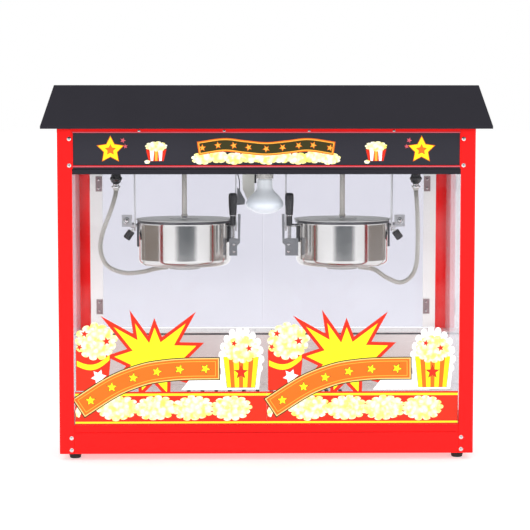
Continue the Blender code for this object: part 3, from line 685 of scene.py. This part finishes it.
# Kettles
def build_pot(side, sign):
    body = f"{side}_kettle"
    cx = KETTLE_X[side]
    centre = (cx, 0, 0)
    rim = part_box(f"{side}_pot")[1].z
    floor = 0.38
    wall = 0.098
    profile = [(0, floor), (wall - 0.015, floor)]
    profile += arc((wall - 0.0135, floor + 0.0135), 0.0135, -88, 0, 10)
    profile += [(wall, floor + 0.0148), (wall, floor + 0.017), (wall, rim - 0.008), (wall, rim - 0.0064)]
    profile += [(wall + 0.0004, rim - 0.0052), *arc((wall - 0.0001, rim - 0.0023), 0.0021, -60, 170, 10)]
    profile += [(wall - 0.0018, rim - 0.004), (wall - 0.0018, floor + 0.025)]
    profile += [*arc((wall - 0.0118, floor + 0.0235), 0.01, 0, -90, 8), (0, floor + 0.0135)]
    name = f"{side}_pot_shell"
    turned(name, profile, centre, 128, POT_STEEL, body, replaces=f"{side}_pot", origin=centre)
    # The dark band round the rim bead is painted shade, where the lid's edge shades the rim.
    inner, corner, outer = wall - 0.001, wall + 0.0016, wall + 0.0024
    low, high = rim - 0.0056, rim - 0.0002
    band = [(inner, low), (corner, low), (outer, rim - 0.0046), (outer, rim - 0.0006)]
    band += [(corner, high), (inner, high), (inner, low)]
    turned(f"{side}_pot_rim_painted_shade", band, centre, 128, SHADE_AND_DARK_STEEL, body)
    low, high = floor - 0.0085, floor + 0.001
    housing = [(0, high), (0, low), (0.0325, low), (0.034, low + 0.0015), (0.034, high)]
    turned(f"{side}_heater_housing", housing, centre, 48, LID_STEEL, body, origin=centre)
    inner_end = 0.1105 if side == "left" else 0.1215
    for label, way, end in (("outer", 1, 0.11), ("inner", -1, inner_end)):
        near = 0.097
        long = end - near
        pin = [(0, 0), (0.0035, 0), (0.0035, long - 0.0006), (0.0029, long), (0, long)]
        at = (cx + sign * way * near, 0, TILT_Z)
        turn = (90 * sign * way, "Y")
        turned(f"{side}_{label}_pivot_pin", pin, at, 24, PLATED, body, turn)
    strip = box(sorted((cx + sign * 0.0974, cx + sign * 0.101)), (-0.009, 0.009), (0.419, 0.47))
    piece(f"{side}_pot_bracket", strip, SHADE_AND_DARK_STEEL, body, 0.0007)
    for row, z in enumerate((0.4245, 0.434)):
        at = (cx + sign * 0.1011, 0, z)
        screw(f"{side}_pot_bracket_rivet_{row}", at, (sign, 0, 0), body, "small")
    clamp = box(sorted((cx - sign * 0.094, cx - sign * 0.099)), (-0.03, -0.014), (0.43, 0.464))
    piece(f"{side}_handle_clamp", clamp, BLACK, body, 0.0012)


def build_lid(side):
    """A fixed rear half with the bridge over the shaft, and a hinged front half."""
    body = f"{side}_kettle"
    flap_body = f"{side}_flap"
    cx = KETTLE_X[side]
    low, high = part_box(f"{side}_lid_plate")
    z0, z1 = low.z, high.z
    reach = 0.103
    dish = [(0, z0), (reach - 0.004, z0), (reach - 0.001, z0 - 0.0002)]
    dish += arc((reach - 0.0012, (z0 + z1) / 2), 0.0012, -80, 80, 6)
    dish += [(reach - 0.003, z1), (reach - 0.006, z1 - 0.0008), (reach - 0.012, z1 - 0.0008)]
    dish += [(0, z1 - 0.0002)]
    all_x = all_y = (-0.2, 0.2)
    all_z = (0.4, 0.5)
    fixed_to, flap_from, flap_half = -0.0145, -0.015, 0.094
    hole = lathe([(0, 0.46), (0.0066, 0.46), (0.0066, 0.49), (0, 0.49)], steps=32)
    halves = (
        ("fixed_lid", "lid_plate", body, (box(all_x, (-0.2, fixed_to), all_z), hole)),
        ("hinged_lid", "lid_flap", flap_body, (
            box(all_x, (flap_from, 0.2), all_z),
            box((flap_half, 0.2), all_y, all_z),
            box((-0.2, -flap_half), all_y, all_z),
        )),
    )
    for name, old, rider, cutters in halves:
        half = piece(f"{side}_{name}", lathe(dish, steps=128), LID_STEEL, cutters=cutters)
        half.location = (cx, 0, 0)
        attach(half, rider)
        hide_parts(f"{side}_{old}")
    knuckle = [(0, 0), (0.0019, 0), (0.0019, 0.0112), (0, 0.0112)]
    for k in range(5):
        at = (cx - 0.03 + 0.0122 * k, -0.017, z1 - 0.0001)
        name = f"{side}_lid_knuckle_{k}"
        turned(name, knuckle, at, 16, LID_HINGE, flap_body, (90, "Y"), bevel=0.0002)


def build_drive(side):
    """The stirrer, the drive rod with its lifting collar, and the motor above."""
    cx = KETTLE_X[side]
    rod_body = f"{side}_rod"
    refined(f"{side}_stirrer", PLATED, 0.0004)
    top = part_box(f"{side}_drive_rod")[1].z
    z = 0.484
    rod = [(0, z), (0.0066, z), (0.0069, z + 0.0005), (0.0069, z + 0.0027), (0.0064, z + 0.0032)]
    rod += [(0.0054, z + 0.004), (0.0054, top - 0.001), (0.0048, top), (0, top)]
    old = f"{side}_drive_rod"
    turned(f"{side}_turned_rod", rod, (cx, 0, 0), 40, ROD_STEEL, rod_body, replaces=old)
    tongue = box((cx - 0.0012, cx + 0.0012), (-0.0042, 0.0042), (z - 0.0035, z + 0.001))
    piece(f"{side}_rod_tongue", tongue, PLATED, rod_body, 0.0003)
    refined(f"{side}_motor_spindle", PLATED, 0.0003)
    refined(f"{side}_gear_motor", SHEET_STEEL, 0.0012, 3)


def build_hanger(side, sign):
    """The strap hanger with the nut of its pivot box and the washer inboard."""
    cx = KETTLE_X[side]
    refined(f"{side}_kettle_hanger", STRAP_STEEL, 0.0005)
    nut = [(0, -0.001), (0.0072, -0.001), (0.0072, 0.0008), (0.006, 0.0018), (0.0036, 0.0018)]
    nut += [(0.0036, 0.0034), (0.0028, 0.004), (0, 0.004)]
    at = (cx + sign * 0.1225, -0.006, 0.474)
    turned(f"{side}_pivot_nut", nut, at, 32, SCREW, "cabinet", TO_FRONT)
    washer = [(0, 0), (0.0068, 0), (0.0072, 0.0004), (0.0072, 0.001), (0.004, 0.0014), (0, 0.0014)]
    at = (cx - sign * (0.111 if side == "left" else 0.122), 0, TILT_Z)
    turned(f"{side}_pivot_washer", washer, at, 32, SCREW, "cabinet", (-90 * sign, "Y"))


def build_handle(side, sign):
    """The bracket, and the stem with its spring, collar and grip."""
    refined(f"{side}_lever_bracket", LEVER_STEEL, 0.0006)
    low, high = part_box(f"{side}_release_grip")
    gx = (low.x + high.x) / 2
    gy = (low.y + high.y) / 2
    centre = (gx, gy, 0)
    release = f"{side}_release"
    grip = [(0, 0.4878), (0.007, 0.4878), (0.0078, 0.4888), (0.0077, 0.492), (0.0082, 0.499)]
    grip += [(0.0089, 0.508), (0.0093, 0.519), (0.0092, 0.526)]
    grip += arc((0.0042, 0.529), 0.005, 20, 90, 8) + [(0, 0.534)]
    old = f"{side}_release_grip"
    turned(f"{side}_moulded_grip", grip, centre, 40, BLACK, release, replaces=old)
    ring = [(0, 0.485), (0.0066, 0.485), (0.007, 0.4855), (0.007, 0.4873), (0.0066, 0.4878), (0, 0.4878)]
    turned(f"{side}_grip_collar", ring, centre, 32, PLATED, release)
    stub = [(0, 0.465), (0.0056, 0.465), (0.0062, 0.4656), (0.0062, 0.485), (0, 0.485)]
    turned(f"{side}_grip_stub", stub, centre, 32, BLACK, release)
    stem = [(0, 0.428), (0.0022, 0.428), (0.003, 0.429), (0.003, 0.464), (0, 0.464)]
    turned(f"{side}_grip_stem", stem, centre, 24, PLATED, release)
    coils, steps, radius = 7, 120, 0.0042
    bottom, length = 0.4386, 0.0246
    coil = []
    for i in range(steps + 1):
        angle = 2 * math.pi * coils * i / steps
        x, y = gx + radius * math.cos(angle), gy + radius * math.sin(angle)
        coil.append(Vector((x, y, bottom + length * i / steps)))
    piece(f"{side}_grip_spring", sweep(coil, lambda i: 0.0006, 8), SCREW, release)
    for row, z in enumerate((0.411, 0.426)):
        at = (gx - sign * 0.002, -0.0396, z)
        screw(f"{side}_bracket_screw_{row}", at, (0, -1, 0), f"{side}_kettle", "small", 0.4)


def build_lock_knob(side, sign):
    """A knob with a fluted grip, on a screw that points outward and down."""
    body = f"{side}_lock"
    flutes, around, depth = 14, 56, 0.05
    profile = ((0.0066, 0.005), (0.008, 0.0062), (0.0082, 0.0232), (0.0074, 0.0246), (0.0056, 0.0252))
    knob = bmesh.new()
    rings = []
    for radius, height in profile:
        ring = []
        for k in range(around):
            angle = 2 * math.pi * k / around
            r = radius * (1 - depth * (0.5 + 0.5 * math.cos(angle * flutes)))
            ring.append(knob.verts.new((r * math.cos(angle), r * math.sin(angle), height)))
        rings.append(ring)
    for a, b in zip(rings, rings[1:]):
        for k in range(around):
            j = (k + 1) % around
            knob.faces.new((a[k], a[j], b[j], b[k]))
    knob.faces.new(rings[0][::-1])
    knob.faces.new(rings[-1])
    tilt = 145 * sign
    start = (KETTLE_X[side] + sign * 0.1098, 0, 0.4561)
    placing = Matrix.Translation(start) @ Matrix.Rotation(math.radians(tilt), 4, "Y")
    bmesh.ops.transform(knob, matrix=placing, verts=knob.verts)
    piece(f"{side}_fluted_knob", knob, BLACK, body, replaces=f"{side}_lock_knob")
    stud = [(0, 0), (0.0025, 0), (0.0025, 0.0042), (0.0046, 0.0043), (0.0046, 0.0052), (0, 0.0052)]
    turned(f"{side}_lock_stud", stud, start, 24, WHITE_RING, body, (tilt, "Y"), bevel=0.0002)


# The line of each conduit, in X and Z, from its plug to its kettle
ROUTES = {
    "left": (
        (-0.3165, 0.543), (-0.318, 0.528), (-0.3265, 0.5), (-0.3465, 0.445), (-0.35, 0.408),
        (-0.335, 0.377), (-0.3, 0.3625), (-0.262, 0.3645), (-0.234, 0.3712), (-0.2063, 0.3748),
    ),
    "right": (
        (0.322, 0.543), (0.3235, 0.525), (0.3262, 0.48), (0.327, 0.425), (0.324, 0.378),
        (0.311, 0.3515), (0.288, 0.341), (0.258, 0.353), (0.234, 0.369), (0.2002, 0.3748),
    ),
}


def build_supply(side):
    """The supply plug and its flexible conduit."""
    low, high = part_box(f"{side}_plug")
    px = (low.x + high.x) / 2
    drop = 0.004
    at = (px, 0, -drop)
    top = high.z + drop
    ball = [(0, 0.556), (0.0052, 0.556), (0.0062, 0.5566), (0.0104, 0.5604)]
    ball += arc((0.0082, 0.5676), 0.0049, -55, 60, 8) + [(0.0098, 0.5768), (0.0062, 0.5796)]
    ball += [(0.0056, 0.5812), (0.0056, top), (0, top)]
    turned(f"{side}_moulded_plug", ball, at, 40, BLACK, "cabinet", replaces=f"{side}_plug")
    nut = [(0, 0.547), (0.008, 0.547), (0.0094, 0.5478), (0.0098, 0.549), (0.0098, 0.5512)]
    nut += [(0.009, 0.552), (0.0064, 0.5524), (0.0064, 0.556), (0, 0.556)]
    turned(f"{side}_plug_coupling", nut, at, 40, SCREW, "cabinet")
    ferrule = [(0, 0.542), (0.0056, 0.542), (0.006, 0.5424), (0.006, 0.547), (0, 0.547)]
    turned(f"{side}_conduit_ferrule", ferrule, at, 32, CONDUIT, "cabinet")
    path = smooth_path([(x, 0, z) for x, z in ROUTES[side]], 560)
    pitch = (0.00405, 0.005, 0.00515, 0.0046)
    hose = piece(f"{side}_flexible_conduit", sweep(path, lambda i: pitch[i % 4], 16), CONDUIT)
    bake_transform(hose)
    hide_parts(f"{side}_conduit")


# Printed film
LAYER = 0.0001  # the thickness of one print


def print_piece(name, shapes, plane_y, x0=0.0):
    """Flat inked shapes from x0, each a thin slab, listed from back to front as (outline, ink)."""
    bm = bmesh.new()
    inks = []
    for level, (points, ink) in enumerate(shapes):
        material = POPCORN if ink == "popcorn" else INK[ink]
        if material not in inks:
            inks.append(material)
        before = len(bm.faces)
        near = plane_y - LAYER * (1 + 0.35 * level)
        # No two backs share a plane, because coincident faces render black
        far = plane_y - 0.00002 - 0.00001 * level
        outline_prism([(x0 + x, z) for x, z in points], near, far, bm)
        bm.faces.ensure_lookup_table()
        for face in bm.faces[before:]:
            face.material_index = inks.index(material)
    bmesh.ops.recalc_face_normals(bm, faces=bm.faces)
    return piece(name, bm, inks, "cabinet", slot="sign_print")


def star(cx, cz, radius, turn=90.0, points=5, inner=0.42):
    found = []
    for i in range(points * 2):
        reach = radius if i % 2 == 0 else radius * inner
        found.append(polar((cx, cz), reach, turn + 180 * i / points))
    return found


def lumpy(cx, cz, half_w, half_h, lumps, seed, tilt=0.0):
    """The outline of a heap of popcorn."""
    rng = random.Random(seed)
    sizes = [rng.uniform(0.75, 1.25) for _ in range(lumps)]
    offset = rng.uniform(0, 6)
    found = []
    steps = lumps * 7
    for i in range(steps):
        at = i / steps * lumps
        k = int(at)
        bulge = math.sqrt(max(0.0, 1 - (2 * (at - k) - 1) ** 2)) * sizes[k]
        angle = 2 * math.pi * i / steps + offset
        grow = 0.82 + 0.16 * bulge
        x, z = half_w * grow * math.cos(angle), half_h * grow * math.sin(angle)
        across, up = x * math.cos(tilt) - z * math.sin(tilt), x * math.sin(tilt) + z * math.cos(tilt)
        found.append((cx + across, cz + up))
    return found


# The bearing and length of each ray of the starburst
RAYS = (
    (-28, 1.25), (18, 1.00), (48, 1.24), (88, 0.72), (115, 1.02),
    (140, 1.33), (176, 0.86), (212, 0.98), (250, 0.72), (292, 0.8),
)


def burst(cx, cz, size, grow):
    """An uneven starburst, its points and hollows moved out by about the width given as grow."""
    found = []
    for i, (bearing, length) in enumerate(RAYS):
        after, next_length = RAYS[(i + 1) % len(RAYS)]
        found.append(polar((cx, cz), size * length + grow * 2.2, bearing))
        hollow = size * min(length, next_length) * 0.62 + grow
        found.append(polar((cx, cz), hollow, bearing + (after - bearing) % 360 / 2))
    return found


def inset(points, by):
    """An anticlockwise outline drawn in by an even width."""
    corners = [Vector(point) for point in points]
    found = []
    for i, corner in enumerate(corners):
        arriving = (corner - corners[i - 1]).normalized()
        leaving = (corners[(i + 1) % len(corners)] - corner).normalized()
        inward = Vector((-arriving.y, arriving.x)), Vector((-leaving.y, leaving.x))
        found.append(tuple(corner + (inward[0] + inward[1]) * (by / (1 + inward[0].dot(inward[1])))))
    return found


def ribbon(line, half, steps=40):
    """A band of even width along a curved line, with square ends."""
    path = smooth_path([(x, 0, z) for x, z in line], steps)
    upper, lower = [], []
    for i, point in enumerate(path):
        ahead = (path[min(i + 1, steps)] - path[max(i - 1, 0)]).normalized()
        across = Vector((-ahead.z, 0, ahead.x))
        upper.append((point.x + across.x * half, point.z + across.z * half))
        lower.append((point.x - across.x * half, point.z - across.z * half))
    return upper + lower[::-1]


def along(line, t):
    path = smooth_path([(x, 0, z) for x, z in line], 100)
    return path[int(t * 100)]


def stretched(line, by):
    """The line made longer at both ends."""
    (ax, az), (bx, bz) = line[0], line[1]
    (cx, cz), (dx, dz) = line[-2], line[-1]
    first = Vector((ax - bx, az - bz)).normalized() * by
    last = Vector((dx - cx, dz - cz)).normalized() * by
    return [(ax + first.x, az + first.y), *line[1:-1], (dx + last.x, dz + last.y)]


def quad(x0, x1, z0, z1, flare=0.0):
    return [(x0, z0), (x1, z0), (x1 + flare, z1), (x0 - flare, z1)]


def build_decal(side, x0):
    """One sheet of print on the front glass. x0 is its left edge."""
    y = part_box("front_glass")[0].y
    width = 0.3882
    band_low, band_high = 0.0722, 0.1398

    # Starburst
    rays = burst(0.158, 0.206, 0.088, 0.0095)
    print_piece(f"{side}_decal_burst", [(rays, "red"), (inset(rays, 0.0068), "yellow")], y, x0)
    # Paper tub with its heap. Each sheet stands a few layers in front of the glass
    tub = [(0.002, 0.142), (0.066, 0.142), (0.074, 0.226), (0.002, 0.226)]
    curve = []
    for i in range(13):
        t = i / 12
        curve.append((0.004 + 0.066 * t, 0.2035 - 0.012 * math.sin(math.pi * t * 0.9) + 0.016 * t**2))
    stripe = curve + [(x, z - 0.011) for x, z in curve[::-1]]
    heap = [
        (tub, "red"),
        (stripe, "yellow"),
        (star(0.048, 0.17, 0.016, 70, 6, 0.55), "white"),
        (lumpy(0.043, 0.242, 0.044, 0.0385, 13, 3), "popcorn"),
        (star(0.02, 0.258, 0.0082, 80), "red"),
        (star(0.064, 0.243, 0.0094, 100), "red"),
        (star(0.0095, 0.231, 0.007, 60), "red"),
    ]
    print_piece(f"{side}_decal_tub", heap, y - LAYER * 1.9, x0)
    # Band of popcorn
    rows = [(quad(0, width, band_low, band_high), "red")]
    outline = 0.0008
    for z, thick in ((0.1338, 0.0052), (0.0768, 0.0044)):
        low, high = z - thick / 2, z + thick / 2
        rows.append((quad(0, width, low, high), "gold"))
        rows.append((quad(0, width, low + outline, high - outline), "yellow"))
    for i in range(4):
        rows.append((lumpy(0.086 + 0.0765 * i, 0.1062, 0.044, 0.0262, 14, 20 + i, 0.05), "popcorn"))
    rows.append((lumpy(0.006, 0.098, 0.006, 0.011, 6, 31), "popcorn"))
    print_piece(f"{side}_decal_band", rows, y - LAYER * 0.9, x0)
    # Blank ribbon across the middle
    line = [(0.0265, 0.119), (0.065, 0.144), (0.101, 0.162), (0.144, 0.1765)]
    line += [(0.184, 0.183), (0.225, 0.186), (0.269, 0.1865)]
    layers = (
        (0.0245, 0.0235, "dark"),
        (0.0225, 0.0215, "cream"),
        (0.0205, 0.0195, "orange"),
        (0.016, 0.0155, "gold"),
        (0.0146, 0.0141, "orange"),
    )
    shapes = [(ribbon(stretched(line, longer), half), ink) for longer, half, ink in layers]
    for i in range(6):
        point = along(line, 0.02 + 0.96 * i / 5)
        for radius, ink in ((0.0118, "dark"), (0.0102, "yellow")):
            shapes.append((star(point.x, point.z, radius, 95 - 6 * i, 5, 0.45), ink))
    print_piece(f"{side}_decal_ribbon", shapes, y - LAYER * 4.2, x0)
    # White patch and striped carton of popcorn
    cx = 0.336
    carton = [
        ([(0.215, 0.1432), (0.33, 0.1432), (0.33, 0.175), (0.24, 0.175)], "white"),
        (lumpy(cx, 0.21, 0.048, 0.062, 18, 41), "white"),
        (quad(cx - 0.036, cx + 0.036, 0.144, 0.213, 0.0075), "white"),
        (quad(cx - 0.029, cx + 0.029, 0.1475, 0.211, 0.007), "dark"),
        (quad(cx - 0.0282, cx + 0.0282, 0.1483, 0.211, 0.007), "yellow"),
    ]
    for i in range(3):
        low = cx - 0.0205 + 0.0165 * i
        high = cx - 0.0255 + 0.0206 * i
        stripe = [(low, 0.1483), (low + 0.008, 0.1483), (high + 0.0099, 0.211), (high, 0.211)]
        carton.append((stripe, "orange"))
    carton += [
        (lumpy(cx, 0.226, 0.0375, 0.029, 14, 47), "popcorn"),
        (star(cx, 0.179, 0.015, 90), "dark"),
        (star(cx, 0.179, 0.0136, 90), "red"),
        (star(cx - 0.014, 0.238, 0.007, 75), "red"),
        (star(cx + 0.016, 0.228, 0.0078, 100), "red"),
    ]
    print_piece(f"{side}_decal_carton", carton, y - LAYER * 1.0, x0)


def build_sign_art():
    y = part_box("sign_panel")[0].y
    middle = -0.001
    half = 0.128
    pile = []
    for i in range(9):
        x, z = middle - half + 0.032 * i, 0.6115 + 0.003 * (i % 2)
        pile.append((lumpy(x, z, 0.0225, 0.0125, 9, 60 + i), "popcorn"))
    wave = ((-half, 0.633), (-0.085, 0.639), (-0.045, 0.635), (0, 0.631))
    line = [(middle + x, z) for x, z in wave]
    line += [(middle - x, z) for x, z in wave[-2::-1]]
    layers = ((0.009, 0.0135, "orange"), (0.007, 0.0115, "gold"), (0.005, 0.0095, "dark"))
    shapes = [(ribbon(stretched(line, longer), width, 60), ink) for longer, width, ink in layers]
    for i in range(9):
        point = along(line, i / 8)
        for radius, ink in ((0.0078, "orange"), (0.0058, "gold")):
            shapes.append((star(point.x, point.z, radius, 90 + 7 * i, 5, 0.45), ink))
    print_piece("sign_popcorn_pile", pile, y)
    print_piece("sign_ribbon", shapes, y - LAYER * 4.5)
    for side, sign in SIDES:
        cx = middle + sign * 0.2205
        low, high = 0.607, 0.6295
        tub = [
            (quad(cx - 0.015, cx + 0.015, 0.6065, 0.63, 0.0055), "red"),
            (quad(cx - 0.011, cx - 0.006, low, high, 0.002), "white"),
            (quad(cx + 0.006, cx + 0.011, low, high, 0.002), "white"),
            (quad(cx - 0.0025, cx + 0.0025, low, high, 0.001), "gold"),
            (lumpy(cx, 0.636, 0.023, 0.01, 11, 80), "popcorn"),
            (lumpy(cx - 0.018, 0.605, 0.006, 0.004, 5, 81), "popcorn"),
        ]
        print_piece(f"{side}_sign_tub", tub, y)
        sx = middle + sign * 0.312
        badge = []
        for radius, ink in ((0.029, "orange"), (0.026, "yellow"), (0.012, "orange")):
            badge.append((star(sx, 0.629, radius, 90, 5, 0.5), ink))
        badge.append((star(sx - sign * 0.025, 0.648, 0.006, 70), "pink"))
        badge.append((star(sx - sign * 0.03, 0.636, 0.005, 100), "pink"))
        print_piece(f"{side}_sign_star", badge, y)


# Stage
def paper(glow):
    """Seamless white paper, lit from behind a little so that it stays white under the object."""
    material = finish("studio_paper", (0.7, 0.7, 0.7), 0.75, vary=0.01, grain=60, bump=0.02)
    tree = material.node_tree
    fill(tree, tree.nodes["Principled BSDF"], {"Emission Color": (1, 1, 1, 1), "Emission Strength": glow})
    return material


def area_light(name, at, turn, size, power):
    """A softbox that lights surfaces but isn't mirrored in them."""
    light = bpy.data.lights.new(name, "AREA")
    light.shape = "RECTANGLE"
    light.size, light.size_y = size
    light.energy = power
    obj = new_object(name, light)
    obj.location = at
    obj.rotation_euler = turn
    obj.visible_glossy = False


def build_walls():
    """Dark studio walls that only the polished steel sees, each darker in the middle by its fade."""
    walls = (
        ("front_wall", (-1.8, 2.4), (-4.05, -3.95), (0.135, 0.15, 0.162), 0.3),
        ("left_wall", (-2.7, -2.6), (-1.2, 2.4), (0.31, 0.26, 0.22), 0.6),
        ("right_wall", (2.6, 2.7), (-1.2, 2.4), (0.34, 0.3, 0.27), 0.6),
    )
    for name, x, y, tone, fade in walls:
        material, tree, shader = new_material(name)
        tree.nodes.remove(shader)
        generated = add(tree, "TexCoord").outputs["Generated"]
        across = add(tree, "SeparateXYZ", {"Vector": generated}).outputs["X"]
        from_middle = math_of(tree, "ABSOLUTE", math_of(tree, "SUBTRACT", across, 0.5), 0.0)
        share = remap(tree, from_middle, 0.0, 1.0, fade, fade + 0.2)
        shade = mix_colour(tree, share, rgba(tone), (1, 1, 1, 1))
        glow = add(tree, "Emission", {"Color": shade})
        tree.links.new(glow.outputs[0], tree.nodes["Material Output"].inputs["Surface"])
        wall = piece(name, box(x, y, (0.0, 3.0)), material)
        wall.visible_camera = False
        wall.visible_diffuse = False
        wall.visible_shadow = False


def build_stage():
    far = 60.0
    bm = bmesh.new()
    corners = ((-far, -far), (far, -far), (far, far), (-far, far))
    bm.faces.new([bm.verts.new((x, y, 0)) for x, y in corners])
    floor = piece("studio_floor", bm, paper(0.48))
    build_walls()
    world = bpy.data.worlds.new("studio")
    bpy.context.scene.world = world
    world.use_nodes = True
    tree = world.node_tree
    fill(tree, tree.nodes["Background"], {"Color": (1, 1, 1, 1), "Strength": 1.0})
    upright = (math.radians(90), 0, 0)
    area_light("cabinet_fill", (0, -0.195, 0.345), upright, (0.74, 0.44), 1.0)
    target = Vector((0, 0, 0.35))
    lamps = (
        ("key_softbox", (-1.9, -3.2, 0.85), 1.7, 34.0),
        ("fill_softbox", (2.1, -3.1, 0.85), 1.7, 29.0),
        ("back_softbox", (0.0, 2.0, 2.6), 2.2, 12.0),
    )
    for name, at, width, power in lamps:
        turn = (target - Vector(at)).to_track_quat("-Z", "Y").to_euler()
        area_light(name, at, turn, (width, width), power)


def build_camera():
    """Almost square on to the front, from a little left of centre and above the kettles."""
    yaw, pitch = 0.0174, 0.085
    sensor = 36.0
    # The focal length in widths of the picture
    focal = 1784.0 / 530.0
    data = bpy.data.cameras.new("photo_camera")
    data.sensor_width = sensor
    data.lens = sensor * focal
    camera = new_object("photo_camera", data)
    camera.location = (-0.0658, -3.8, 0.7026)
    camera.rotation_euler = (math.radians(90) - pitch, 0, -yaw)
    bpy.context.scene.camera = camera
    bpy.context.scene.view_settings.view_transform = "Standard"


build_cabinet()
build_ledge()
build_base_fold()
build_header_strips()
build_doors()
build_controls()
build_lamp()
for side, sign in SIDES:
    build_pot(side, sign)
    build_lid(side)
    build_drive(side)
    build_hanger(side, sign)
    build_handle(side, sign)
    build_lock_knob(side, sign)
    build_supply(side)
build_decal("left", -0.388)
build_decal("right", 0.0006)
build_sign_art()
build_stage()
build_camera()
